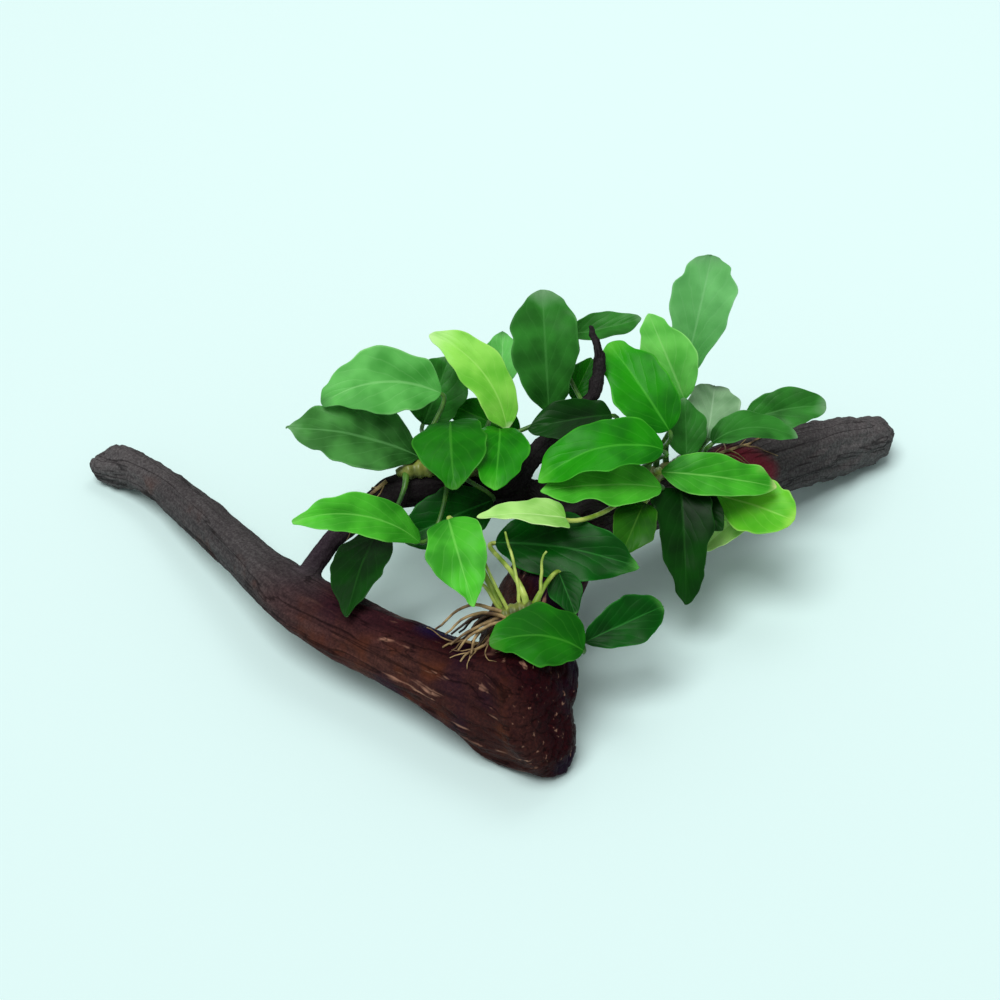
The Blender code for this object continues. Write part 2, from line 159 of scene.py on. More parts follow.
# Leaves
BLADE_COLUMNS = 16
BLADE_ROWS = 30
BLADE_THICKNESS = 0.45 * MM
STALK_RADIUS = 1.0 * MM
FOOT_SHARE = 0.07
TIP_SHARE = 0.012
GROOVE_DEPTH = 0.35 * MM
GROOVE_WIDTH = 0.16
LOBE_SIZE = 9 * MM
LOBE_DEPTH = 0.26
WAVE_SIZE = 10 * MM
WAVE_DEPTH = 3.2 * MM
DENT_SIZE = 15 * MM
DENT_DEPTH = 2.0 * MM
CALM_ROWS = 6
RIB_SHARE = 0.85
RIB_TAPER = 0.8
STALK_STEPS = 14
STALK_FOOT = 1.5
STALK_NECK = 0.95
NIBBLE_REACH = 2.2 * MM
LOWERED_REACH = 10 * MM
PULL_AT_STEM = 0.45
PULL_AT_BLADE = 0.25

# How far along its blade a leaf is widest (as a power) and how square its outline is, for each form of leaf
FORMS = {
    "ovate": (0.84, 0.72),
    "broad": (0.80, 0.60),
    "blunt": (1.25, 0.52),
    "spoon": (2.2, 0.42),
    "wedge": (0.58, 0.75),
    "fan": (0.35, 0.6),
}

# The red stain on the right arm, as spots with a radius each, and the middle of the blue-black patch by the
# base
RED_PATCHES = (
    (Vector((97, 45, 41)) * MM + CENTRING, 11 * MM),
    (Vector((105, 46, 38)) * MM + CENTRING, 11 * MM),
    (Vector((112, 45, 34)) * MM + CENTRING, 10 * MM),
)
BLUE_PATCH = Vector((-24, -60, 40)) * MM + CENTRING

# Each creeping stem runs over these x, y places on top of one piece of wood
CROWNS = {
    "left": ("driftwood_bridge_branch", ((-42, 13), (-24, 15), (-6, 16))),
    "right": ("driftwood_right_arm", ((42, 9), (60, 22), (84, 38))),
    "front": ("driftwood_base", ((0, -62), (12, -62), (24, -64))),
}

# Roots: the wood that each one creeps over, and its x, y places in millimetres
ROOTS = (
    ("root_front_left", "driftwood_base", ((-3, -66), (-9, -70), (-16, -70), (-22, -74))),
    ("root_front_middle", "driftwood_base", ((1, -68), (-4, -72), (-10, -76), (-15, -81))),
    ("root_front_right", "driftwood_base", ((14, -70), (12, -74), (9, -78), (6, -82))),
    ("root_back_left", "driftwood_bridge_branch", ((-46, 11), (-52, 7), (-58, 1), (-64, -4))),
    ("root_back_right", "driftwood_right_arm", ((88, 42), (95, 47), (103, 52), (112, 60))),
)

# The leaves of each creeping stem, in millimetres: how far along the stem each grows (0 to 1), the lean of
# its stalk from upright (degrees towards +Y), the foot and the tip of its blade, the blade's width and the
# way its upper face looks, then its arch, sweep to the side, fold (degrees) and wave, and its form
LEFT_LEAVES = {
    "left_upper": (0.3, 25, (-24, 31, 86), (-72, 21, 88), 29, (-0.1, -0.6, 0.8), 0.1, 5.5, 10, 0.9, "ovate"),
    "left_broad": (
        0.12, 10, (-33, 17, 64), (-86, 13, 82),
        28, (-0.2, -0.5, 0.9), 0.05, 2.5, 10, 1.8, "ovate",
    ),
    "left_inner": (0.45, 40, (-32, 45, 59), (-21, 64, 80), 27, (0.1, -0.8, 0.5), 0.05, 0, 12, 1, "ovate"),
    "bright_narrow": (
        0.8, 10, (3, 25, 72), (-29, 51, 101),
        18.5, (0.3, -0.8, 0.5), 0.08, 6.5, 10, 0.8, "ovate",
    ),
    "back_shaded": (0.98, 75, (8, 44, 54), (-21, 56, 61), 18, (0, -0.7, 0.6), 0.04, 0, 10, 0.8, "broad"),
    "pale_behind": (0.9, 45, (1, 53, 74), (1, 72, 87), 17, (0, -0.8, 0.5), 0.04, 0, 10, 0.6, "ovate"),
    "centre_upright": (0.98, 35, (20, 31, 76), (17, 57, 119), 29, (0, -0.8, 0.6), 0.06, 0, 10, 1.2, "blunt"),
    "left_low": (0.55, -75, (-32, -20, 50), (-82, -25, 65), 18, (0, -0.6, 0.8), 0.1, 6, 12, 0.8, "ovate"),
    "left_hanging": (
        0.1, -85, (-49, -8, 45), (-60, -54, 41),
        24, (-0.3, -0.6, 0.7), 0.08, 0, 10, 1, "ovate",
    ),
    "left_shaded": (0.64, -75, (-3, 4, 52), (-40, -9, 42), 25, (0.1, -0.6, 0.8), 0.04, 0, 10, 0.8, "ovate"),
    "front_round": (0.5, -20, (-20, 19, 81), (-18, -18, 76), 30, (-0.1, -0.3, 1), 0.12, 0, 8, 1, "broad"),
    "front_second": (0.72, -25, (0, 20, 77), (-2, -16, 74), 23.5, (0.1, -0.3, 1), 0.12, 0, 8, 1, "broad"),
}
RIGHT_LEAVES = {
    "centre_dark": (0.06, 10, (45, 16, 87), (11, 10, 84), 19, (-0.1, -0.5, 0.8), 0.06, 0, 12, 0.8, "ovate"),
    "centre_small": (0.1, 40, (30, 40, 76), (38, 52, 88), 13, (0, -0.8, 0.6), 0.05, 0, 10, 0.5, "ovate"),
    "back_spiked": (0.22, 30, (29, 56, 98), (58, 61, 102), 14, (0, -0.4, 0.95), -0.06, 0, 14, 1, "broad"),
    "tall_right": (0.7, 25, (74, 45, 72), (86, 67, 129), 26.5, (0, -0.8, 0.5), 0.04, 0, 8, 1.4, "spoon"),
    "tall_right_front": (0.6, 15, (76, 38, 77), (60, 47, 114), 24, (0, -0.8, 0.5), 0.04, 0, 8, 0.8, "ovate"),
    "right_leaning": (0.5, 0, (68, 13, 81), (44, 45, 101), 25.5, (0, -0.6, 0.8), 0.08, 0, 10, 0.9, "broad"),
    "right_dark": (0.78, -5, (76, 15, 65), (75, 32, 83), 17, (0.2, -0.8, 0.5), 0.04, 0, 10, 0.5, "ovate"),
    "right_grey": (0.86, 5, (85, 27, 66), (90, 57, 70), 22, (0.1, -0.4, 0.9), 0.05, 0, 10, 1, "blunt"),
    "far_right": (0.99, 10, (98, 41, 61), (136, 47, 67), 19, (0, -0.6, 0.8), 0.06, -2, 12, 1.2, "blunt"),
    "far_right_lower": (
        0.93, -40, (86, 17, 72), (122, 25, 68),
        16, (0, -0.2, 0.95), 0.05, -5, 12, 1, "ovate",
    ),
    "middle_broad": (0.4, -10, (65, 1, 81), (15, -11, 74), 24, (-0.1, -0.4, 0.9), 0.1, 5, 12, 1.2, "broad"),
    "middle_lower": (0.3, -35, (65, -1, 63), (16, -13, 71), 22, (0, -0.3, 0.95), 0.06, 0, 10, 1.4, "ovate"),
    "right_bright": (0.58, -35, (65, 5, 66), (112, 3, 60), 19, (0.1, -0.5, 0.85), 0.05, 0, 10, 1, "ovate"),
    "right_yellow": (0.8, -40, (88, 16, 45), (119, -5, 49), 25, (0, -0.5, 0.85), 0.06, 0, 8, 1.6, "blunt"),
    "right_yellow_low": (
        0.93, -80, (103, 14, 39), (82, -4, 32),
        14, (0, -0.5, 0.85), 0.05, 0, 8, 1, "ovate",
    ),
    "hanging_right": (0.66, -60, (73, 3, 59), (75, -30, 25), 26, (0.1, -0.9, 0.4), 0.08, 0, 12, 1, "fan"),
    "hanging_short": (0.72, -60, (79, 5, 52), (90, -9, 47), 14, (0.2, -0.8, 0.5), 0.05, 0, 10, 0.6, "ovate"),
    "olive_inner": (0.52, -75, (58, -6, 59), (48, -30, 52), 18, (0, -0.5, 0.85), 0.06, 0, 10, 0.8, "broad"),
    "pale_edge": (0.1, -58, (26, -25, 67), (-9, -32, 74), 19, (0, 0, 1), 0.04, 0, 10, 1.2, "fan"),
}
FRONT_LEAVES = {
    "front_hanging": (0.1, 40, (-20, -36, 76), (-10, -70, 61), 24, (0, -0.8, 0.6), 0.08, 0, 8, 1, "wedge"),
    "front_long": (0.45, 15, (-2, -22, 52), (55, -36, 51), 28, (0, -0.6, 0.8), 0.04, -2, 8, 1.2, "ovate"),
    "low_front": (0.84, 78, (32, -77, 45), (-4, -80, 51), 30, (0, -0.2, 1), 0.08, 3.5, 8, 1, "broad"),
    "low_right": (0.98, 80, (33, -63, 36), (64, -49, 42), 19.5, (0.1, -0.6, 0.8), 0.08, 0, 10, 0.8, "blunt"),
    "low_shaded": (0.52, 16, (23, -45, 56), (29, -61, 49), 14, (0, -0.5, 0.8), 0.05, 0, 10, 0.6, "broad"),
}
LEAVES = {"left": LEFT_LEAVES, "right": RIGHT_LEAVES, "front": FRONT_LEAVES}

# Bites out of the margin: the row of the blade (30 is the tip), its edge and the depth in metres
NIBBLES = {
    "tall_right": (
        (28, "left", 1.7 * MM), (26, "left", 1.2 * MM), (27, "right", 1.6 * MM), (24, "right", 1.0 * MM),
        (22, "left", 1.1 * MM),
    ),
    "left_broad": ((27, "left", 1.4 * MM), (20, "left", 1.6 * MM), (15, "right", 1.0 * MM)),
    "right_yellow_low": ((24, "right", 1.4 * MM),),
    "right_yellow": ((20, "left", 1.2 * MM),),
    "pale_edge": ((6, "left", 1.2 * MM), (22, "left", 1.2 * MM)),
    "right_grey": ((23, "right", 1.2 * MM),),
}

# Margins that lie lower where another leaf or its stalk crosses over them, given in the same way
LOWERED_MARGINS = {
    "left_broad": ((20, "right", 2.5 * MM),),
    "front_long": ((16, "left", 2.5 * MM),),
}
PALE_STALKS = (
    "pale_edge", "olive_inner", "bright_narrow", "right_bright", "front_hanging", "front_long", "low_shaded",
)

# Bare old stalks on the front stem, and roots that arch out of it onto the wood, in millimetres
OLD_STALKS = (
    ((4, -63, 50), (-1, -58, 58), (-7, -48, 66), (-12, -38, 70)),
    ((8, -62, 51), (7, -56, 60), (4, -46, 68), (2, -38, 71)),
    ((14, -62, 51), (16, -56, 58), (16, -50, 64), (18, -46, 68)),
    ((0, -61, 51), (-4, -57, 56), (-11, -50, 62), (-14, -47, 64)),
)
ARCHING_ROOTS = (
    ((2, -64, 50), (-5, -64, 53), (-13, -65, 51), (-21, -68, 45)),
    ((6, -66, 50), (-2, -70, 52), (-10, -72, 49), (-16, -76, 44)),
    ((1, -62, 51), (-8, -61, 54), (-16, -60, 50), (-25, -62, 42)),
    ((3, -65, 49), (-4, -68, 50), (-9, -72, 48), (-11, -79, 45)),
    ((0, -63, 50), (-7, -66, 48), (-14, -68, 45), (-19, -72, 43)),
)
DARK_ROOTS = (
    ((3, -62, 48), (-2, -62, 50), (-8, -64, 49), (-13, -68, 44)),
    ((2, -61, 47), (-4, -61, 48), (-9, -63, 46), (-14, -67, 42)),
    ((4, -63, 48), (-1, -64, 49), (-6, -67, 47), (-11, -71, 43.5)),
    ((1, -60, 46), (-5, -59, 47), (-12, -60, 45), (-19, -64, 41)),
    ((3, -64, 48), (-1, -66, 48.5), (-5, -69, 46), (-9, -74, 43.5)),
    ((0, -61, 46), (-6, -62, 45), (-10, -64, 43), (-15, -68, 42)),
    ((2, -60, 45), (-3, -58, 46), (-9, -58, 44), (-16, -62, 40)),
    ((2, -58, 44), (-2, -55, 43), (-6, -56, 41), (-12, -61, 39)),
)


def paint(red, green, blue):
    """A colour as the eye reads it, 0 to 255, in the shader's own scale."""
    parts = [(value / 255 + 0.055) / 1.055 for value in (red, green, blue)]
    return (*[part**2.4 for part in parts], 1)


# Leaf colours, 0 to 255 as the eye reads them: deep, which darkens each foot as painted shade, light, veins
# and the margin's painted highlight, the tip's own colour and, where there is a fifth, the foot's pale colour
# with a painted highlight
LEAF_COLOURS = {
    "lit": ((40, 132, 34), (116, 208, 104), (146, 218, 132), (76, 142, 72)),
    "misty": ((70, 152, 68), (128, 208, 124), (146, 212, 142), (104, 160, 104)),
    "greyish": ((66, 116, 66), (150, 192, 146), (172, 208, 168), (96, 124, 96)),
    # Painted shade: the deep colour darkens this leaf's foot for the shadow of the leaves above it
    "dusty": ((0, 56, 0), (86, 164, 76), (112, 180, 104), (146, 196, 140)),
    "fresh": ((2, 88, 0), (40, 160, 16), (84, 190, 54), (88, 188, 54)),
    "bright": ((18, 112, 8), (90, 210, 56), (134, 222, 98), (116, 208, 82)),
    "backlit": ((56, 168, 40), (140, 238, 110), (170, 240, 140), (150, 226, 124)),
    "sunned": ((12, 104, 4), (78, 190, 48), (140, 218, 104), (200, 214, 140)),
    "young": ((66, 172, 12), (162, 238, 98), (178, 238, 120), (198, 244, 160), (226, 238, 200)),
    "palest": ((112, 184, 62), (200, 252, 150), (222, 252, 180), (214, 248, 160)),
    "yellowing": ((40, 150, 16), (112, 210, 50), (172, 232, 110), (150, 218, 80)),
    "mature": ((2, 70, 0), (32, 132, 14), (72, 158, 44), (60, 130, 38)),
    "deep": ((6, 56, 3), (58, 142, 50), (78, 148, 70), (110, 156, 108)),
    "shaded": ((1, 26, 2), (14, 70, 10), (34, 88, 28), (18, 64, 14)),
    # Painted shade: a dark palette for leaves that lie in shadow
    "bluish": ((0, 38, 4), (8, 92, 14), (48, 136, 50), (80, 158, 64)),
    "olive": ((8, 54, 2), (42, 108, 16), (78, 128, 42), (88, 138, 36)),
}
UNDERSIDE_GREY = (0.12, 0.19, 0.09)
UNDERSIDE_FADE = 0.3
# The lit, backlit and sunned palettes are painted light on leaves that catch it; the shaded palette, the
# bluish one and the grey-tipped one's dark foot are painted shade on leaves in shadow
LEAVES_BY_COLOUR = {
    "lit": ("left_upper", "pale_behind"),
    "misty": ("tall_right",),
    "greyish": ("right_grey",),
    "dusty": ("left_broad",),
    "fresh": ("right_leaning", "middle_broad", "front_second"),
    "bright": ("front_hanging", "left_low", "middle_lower"),
    "backlit": ("tall_right_front",),
    "sunned": ("right_bright",),
    "young": ("bright_narrow",),
    "palest": ("pale_edge", "right_yellow_low"),
    "yellowing": ("right_yellow",),
    "mature": ("front_round", "low_front", "centre_small", "back_shaded"),
    "deep": ("centre_upright", "back_spiked", "left_inner", "far_right", "far_right_lower", "right_dark"),
    "shaded": ("centre_dark", "hanging_right", "hanging_short", "left_hanging"),
    "bluish": ("front_long", "low_right", "left_shaded", "low_shaded"),
    "olive": ("olive_inner",),
}

# How strongly veins, midrib and the speckled painted highlight on the margin show, and where along the blade
# its end colours start and end (at the foot, a painted highlight)
SIDE_VEIN_SHOWS = 0.12
MIDRIB_SHOWS = 0.40
MARGIN_HIGHLIGHT_SHOWS = (0.25, 0.9)
TIP_COLOUR = (0.74, 1.0)
FOOT_HIGHLIGHT = (0.15, 0.03)

# The darkest and the lightest colour of each tone of the wood: ruddy is painted light on the lower front
# flank, dusky and black painted shade on the bridge branch and the twig
WOOD_TONES = {
    "umber": (paint(8, 1, 4), paint(64, 20, 24)),
    "plum": (paint(18, 8, 12), paint(82, 44, 50)),
    "charcoal": (paint(43, 40, 41), paint(108, 104, 104)),
    "ruddy": (paint(30, 12, 12), paint(114, 74, 64)),
    "black": (paint(5, 5, 5), paint(34, 28, 30)),
    "dusky": (paint(12, 7, 11), paint(84, 66, 80)),
}

# Where one tone gives way to the next, in millimetres from the base
UMBER_TO_PLUM = (45.0, 100.0)
PLUM_TO_CHARCOAL = (100.0, 155.0)
CHARCOAL_PALES = (215.0, 265.0)
DUSKY_TO_BLACK = (160.0, 195.0)
# The painted light on the lower front flank strengthens over this span
FLANK_LIGHT_GROWS = (15.0, 75.0)
BASE_FADES = (60.0, 130.0)
WET_TO_DRY = (40.0, 190.0)
TONES_WANDER = 60.0

# How strongly the lower front flank is painted lighter and ruddier before and after it turns: painted light
# over its brown tone
FLANK_LIGHT_STRENGTH = (0.4, 0.85)

# The marks laid over those tones, with the painted wet glints: how deep each is at its strongest, and its
# colour
MARKS_AND_GLINTS = {
    "arm end": (0.35, paint(126, 122, 122)),
    "speckle": (0.5, paint(22, 14, 20)),
    "rust": (0.45, paint(98, 50, 26)),
    "ink": (0.6, paint(24, 14, 40)),
    # Painted highlight: pale tan glints of wet wood
    "glint": (0.75, paint(184, 136, 114)),
    "red": (0.75, paint(128, 40, 56)),
    "blue": (0.7, paint(24, 20, 62)),
    "crack": (0.6, paint(8, 3, 5)),
}
BLUE_PATCH_FADES = (3 * MM, 11 * MM)
# How deep the painted shade on the bridge branch and the twig is
THIN_BRANCH_SHADE = 0.8

# Floor and light
FLOOR_COLOUR = paint(224, 250, 247)
FLOOR_SIZE = 6
FLOOR_DROP = 0.2 * MM
SKY_COLOUR = (0.97, 0.99, 1.0, 1)
SKY_STRENGTH = 0.34
SUN_STRENGTH = 2.05
SUN_SOFTNESS = math.radians(34)
SUN_WAY = Vector((0.25, 0.3, -1.0))
SHEEN_WATTS = 1.6
SHEEN_SIZE = 0.5
SHEEN_PLACE = Vector((0.1, 0.5, 1.1))


def undersides(colours):
    """The same colours as they show on the duller, paler underside."""
    faded = []
    for colour in colours:
        parts = zip(colour, UNDERSIDE_GREY)
        faded.append((*[(1 - UNDERSIDE_FADE) * part + UNDERSIDE_FADE * grey for part, grey in parts], 1))
    return faded


def take(piece):
    """Makes this the one piece in hand."""
    bpy.ops.object.select_all(action="DESELECT")
    piece.select_set(True)
    bpy.context.view_layer.objects.active = piece


def pick(keep):
    """In edit mode, selects the vertices that keep says yes to."""
    shape = bmesh.from_edit_mesh(bpy.context.edit_object.data)
    for vert in shape.verts:
        vert.select = keep(vert)
    shape.select_flush_mode()
    bmesh.update_edit_mesh(bpy.context.edit_object.data)


def open_edit(piece):
    take(piece)
    bpy.ops.object.mode_set(mode="EDIT")
    bpy.context.tool_settings.mesh_select_mode = (True, False, False)


def close_edit():
    bpy.ops.object.mode_set(mode="OBJECT")


def own_copy(piece, name):
    copy = piece.copy()
    copy.data = piece.data.copy()
    copy.name = name
    copy.hide_render = False
    copy.hide_viewport = False
    bpy.context.scene.collection.objects.link(copy)
    return copy


def join(pieces, name):
    """Joins the pieces to the first of them."""
    take(pieces[0])
    for piece in pieces[1:]:
        piece.select_set(True)
    bpy.ops.object.join()
    pieces[0].name = name
    return pieces[0]


def modify(piece, kind, **settings):
    """Adds a modifier to the piece and applies it."""
    take(piece)
    modifier = piece.modifiers.new(kind.title(), kind)
    for setting, value in settings.items():
        setattr(modifier, setting, value)
    bpy.ops.object.modifier_apply(modifier=modifier.name)


def settle(piece):
    """Puts the piece's place and turn into its mesh."""
    take(piece)
    bpy.ops.object.transform_apply(location=True, rotation=True, scale=True)


def cloud(name, size, depth=1):
    texture = bpy.data.textures.new(name, "CLOUDS")
    texture.noise_scale = size
    texture.noise_depth = depth
    return texture


def hand_in(piece, slot, *nodes):
    """Shades a finished piece smooth and gives it the place of its CAD nodes."""
    take(piece)
    bpy.ops.object.shade_smooth()
    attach(piece, "root")
    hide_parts(*nodes)


# Colours and node helpers


class Nodes:
    """Short ways to lay nodes in one material or group."""

    def __init__(self, tree):
        self.tree = tree

    def add(self, kind, **settings):
        node = self.tree.nodes.new(kind)
        for setting, value in settings.items():
            setattr(node, setting, value)
        return node

    def link(self, source, target):
        self.tree.links.new(source, target)

    def feed(self, socket, value):
        """Gives a socket a link or its own value."""
        if isinstance(value, bpy.types.NodeSocket):
            self.link(value, socket)
        elif value is not None:
            socket.default_value = value

    def math(self, operation, first, second=None, third=None):
        node = self.add("ShaderNodeMath", operation=operation)
        for socket, value in zip(node.inputs, (first, second, third)):
            self.feed(socket, value)
        return node.outputs[0]

    def times(self, first, second):
        return self.math("MULTIPLY", first, second)

    def less(self, first, second):
        return self.math("SUBTRACT", first, second)

    def vector(self, operation, first, second=None):
        node = self.add("ShaderNodeVectorMath", operation=operation)
        for socket, value in zip(node.inputs, (first, second)):
            self.feed(socket, value)
        return node

    def ramp(self, value, low, high):
        """0 below low and 1 above high, with soft ends."""
        node = self.add("ShaderNodeMapRange", interpolation_type="SMOOTHSTEP")
        self.feed(node.inputs["Value"], value)
        self.feed(node.inputs["From Min"], low)
        self.feed(node.inputs["From Max"], high)
        return node.outputs["Result"]

    def scale_to(self, value, low, high):
        """Spreads a value that runs from 0 to 1 between low and high."""
        node = self.add("ShaderNodeMapRange")
        self.feed(node.inputs["Value"], value)
        self.feed(node.inputs["To Min"], low)
        self.feed(node.inputs["To Max"], high)
        return node.outputs["Result"]

    def mix(self, share, one, two):
        node = self.add("ShaderNodeMix", data_type="RGBA")
        self.feed(node.inputs["Factor"], share)
        self.feed(node.inputs[6], one)
        self.feed(node.inputs[7], two)
        return node.outputs[2]

    def stain_or_light(self, colour, share, depth, tint):
        """Lays a tint over the colour, as strong as its share of each place and never deeper than depth."""
        return self.mix(self.times(share, depth), colour, tint)

    def noise(self, vector, scale, detail=2.0, roughness=0.5):
        node = self.add("ShaderNodeTexNoise")
        self.feed(node.inputs["Vector"], vector)
        self.feed(node.inputs["Scale"], scale)
        self.feed(node.inputs["Detail"], detail)
        self.feed(node.inputs["Roughness"], roughness)
        return node.outputs["Fac"]

    def split(self, vector):
        node = self.add("ShaderNodeSeparateXYZ")
        self.feed(node.inputs[0], vector)
        return node.outputs

    def bump(self, height, strength, distance, normal=None):
        node = self.add("ShaderNodeBump")
        self.feed(node.inputs["Height"], height)
        self.feed(node.inputs["Strength"], strength)
        self.feed(node.inputs["Distance"], distance)
        self.feed(node.inputs["Normal"], normal)
        return node.outputs[0]

    def place(self):
        return self.add("ShaderNodeTexCoord").outputs["Object"]

    def group(self, tree, **values):
        node = self.add("ShaderNodeGroup")
        node.node_tree = tree
        for name, value in values.items():
            self.feed(node.inputs[name.replace("_", " ")], value)
        return node.outputs


def new_group(name, inputs, outputs):
    """A shader node group with the named number inputs and outputs."""
    tree = bpy.data.node_groups.new(name, "ShaderNodeTree")
    for label, value in inputs.items():
        socket = tree.interface.new_socket(name=label, in_out="INPUT", socket_type="NodeSocketFloat")
        socket.default_value = value
    for label in outputs:
        tree.interface.new_socket(name=label, in_out="OUTPUT", socket_type="NodeSocketFloat")
    n = Nodes(tree)
    given = n.add("NodeGroupInput").outputs
    result = n.add("NodeGroupOutput").inputs
    return tree, n, given, result


def new_finish(name):
    material = bpy.data.materials.new(name)
    material.use_nodes = True
    n = Nodes(material.node_tree)
    shader = material.node_tree.nodes["Principled BSDF"]
    return material, n, shader.inputs


# Leaf finish


def leaf_veins_group():
    """The midrib, the side veins that sweep to the margin, the blisters between them and the margin."""
    tree, n, given, result = new_group(
        "leaf veins",
        {"Vein pairs": 8.0, "Sweep": 0.36, "Wobble": 0.09, "Rib width": 0.08, "Rib taper": -0.05},
        ("Midrib", "Side veins", "Relief", "Margin", "Along"),
    )
    across, along, _ = n.split(n.add("ShaderNodeUVMap", uv_map="UVMap").outputs[0])
    off_middle = n.math("ABSOLUTE", n.math("MULTIPLY_ADD", across, 2.0, -1.0))
    drift = n.times(n.less(n.noise(n.place(), 110.0), 0.5), given["Wobble"])
    sweep = n.times(n.math("POWER", off_middle, 0.8), given["Sweep"])
    run = n.math("ADD", n.less(along, sweep), drift)
    beat = n.math("FRACT", n.times(run, given["Vein pairs"]))
    to_vein = n.math("ABSOLUTE", n.math("MULTIPLY_ADD", beat, 2.0, -1.0))
    inner = n.less(1.0, n.math("POWER", off_middle, 5.0))
    side_veins = n.times(n.ramp(to_vein, 0.8, 1.0), inner)
    rib_width = n.math("MULTIPLY_ADD", along, given["Rib taper"], given["Rib width"])
    midrib = n.less(1.0, n.ramp(off_middle, n.times(rib_width, 0.3), rib_width))
    blister = n.less(1.0, n.math("POWER", to_vein, 2.0))
    relief = n.less(n.less(n.times(blister, inner), n.times(side_veins, 0.35)), midrib)
    for name, value in {
        "Midrib": midrib,
        "Side veins": side_veins,
        "Relief": relief,
        "Margin": n.ramp(off_middle, 0.92, 1.0),
        "Along": along,
    }.items():
        n.link(value, result[name])
    return tree


def blotch_group():
    """Slow mottling and fine cells over a living skin, with the mottling's size in millimetres."""
    tree, n, given, result = new_group(
        "mottled skin", {"Size": 12.0, "Cell scale": 1100.0}, ("Mottle", "Cells")
    )
    place = n.place()
    scale = n.math("DIVIDE", 1 / MM, given["Size"])
    n.link(n.ramp(n.noise(place, scale, 2.0, 0.45), 0.3, 0.7), result["Mottle"])
    cells = n.add("ShaderNodeTexVoronoi", feature="DISTANCE_TO_EDGE")
    n.feed(cells.inputs["Vector"], place)
    n.feed(cells.inputs["Scale"], given["Cell scale"])
    n.link(n.ramp(cells.outputs["Distance"], 0.0, 0.25), result["Cells"])
    return tree


def leaf_finish(name, veins, mottle, deep, light, vein, tip, foot=None, gloss=0.34, relief_strength=0.22):
    """One leaf skin: deep and light greens with the foot darker as painted shade, vein colour, a painted
    highlight on the margin, and the colours that it fades to at its ends.
    """
    material, n, skin = new_finish(name)
    lines = n.group(veins)
    blotch = n.group(mottle)
    # From deep at the foot to light at the tip, over slow mottling: the darker foot is painted shade where
    # the leaves crowd
    lighter = n.math("MULTIPLY_ADD", lines["Along"], 0.55, n.times(blotch["Mottle"], 0.50))
    colour = n.mix(lighter, deep, light)
    colour = n.stain_or_light(colour, lines["Side veins"], SIDE_VEIN_SHOWS, vein)
    colour = n.stain_or_light(colour, lines["Midrib"], MIDRIB_SHOWS, vein)
    # Painted highlight: the margin speckled pale with the vein colour
    colour = n.stain_or_light(colour, lines["Margin"], n.scale_to(blotch["Mottle"], *MARGIN_HIGHLIGHT_SHOWS), vein)
    fading = n.math("MULTIPLY_ADD", n.less(blotch["Mottle"], 0.5), 0.16, lines["Along"])
    colour = n.mix(n.ramp(fading, *TIP_COLOUR), colour, tip)
    # The young leaf's pale, ragged foot, with a painted highlight on it
    if foot:
        colour = n.mix(n.ramp(fading, *FOOT_HIGHLIGHT), colour, foot)
    n.feed(skin["Base Color"], colour)
    n.feed(skin["Roughness"], n.scale_to(blotch["Mottle"], gloss + 0.1, gloss - 0.04))
    n.feed(skin["Specular IOR Level"], 0.09)
    relief = n.bump(lines["Relief"], relief_strength, 0.3 * MM)
    n.feed(skin["Normal"], n.bump(blotch["Cells"], 0.08, 0.1 * MM, relief))
    return material


def leaf_faces(name, veins, mottle, colours):
    """The skins of a leaf's upper and under faces."""
    upper = leaf_finish(name + " leaf", veins, mottle, *colours)
    under = leaf_finish(
        name + " leaf underside", veins, mottle, *undersides(colours), gloss=0.5, relief_strength=0.45
    )
    return upper, under


def stalk_finish(mottle, name, body, tinge):
    material, n, skin = new_finish(name)
    blotch = n.group(mottle, Size=6.0)
    n.feed(skin["Base Color"], n.mix(blotch["Mottle"], body, tinge))
    n.feed(skin["Roughness"], n.scale_to(blotch["Mottle"], 0.5, 0.36))
    n.feed(skin["Normal"], n.bump(blotch["Mottle"], 0.2, 0.2 * MM))
    return material


# Wood and root finish


def grain_group():
    """Fibres, cracks and specks that follow each limb, and how far from the base each place is."""
    tree, n, given, result = new_group(
        "wood grain",
        {"Fibre stretch": 0.05},
        ("Fibres", "Cracks", "Specks", "Streaks", "From base", "Front flank"),
    )
    grain = n.add("ShaderNodeAttribute", attribute_name="grain").outputs["Vector"]
    run, across, up = n.split(grain)
    packed = n.add("ShaderNodeCombineXYZ")
    n.feed(packed.inputs[0], n.times(run, given["Fibre stretch"]))
    n.feed(packed.inputs[1], across)
    n.feed(packed.inputs[2], up)
    stretched = packed.outputs[0]
    n.link(n.noise(stretched, 0.55, 5.0, 0.6), result["Fibres"])
    gash = n.math("ABSOLUTE", n.less(n.noise(stretched, 0.16, 3.0, 0.5), 0.5))
    n.link(n.ramp(gash, 0.03, 0.0), result["Cracks"])
    n.link(n.ramp(n.noise(grain, 0.9, 3.0, 0.7), 0.35, 0.68), result["Specks"])
    # Streaks along the grain, for the painted glints
    broad = n.vector("MULTIPLY", stretched, (1.6, 1.0, 1.0)).outputs[0]
    n.link(n.noise(broad, 0.36, 2.5, 0.5), result["Streaks"])
    n.link(run, result["From base"])
    n.link(n.ramp(across, -1.0, -13.0), result["Front flank"])
    return tree


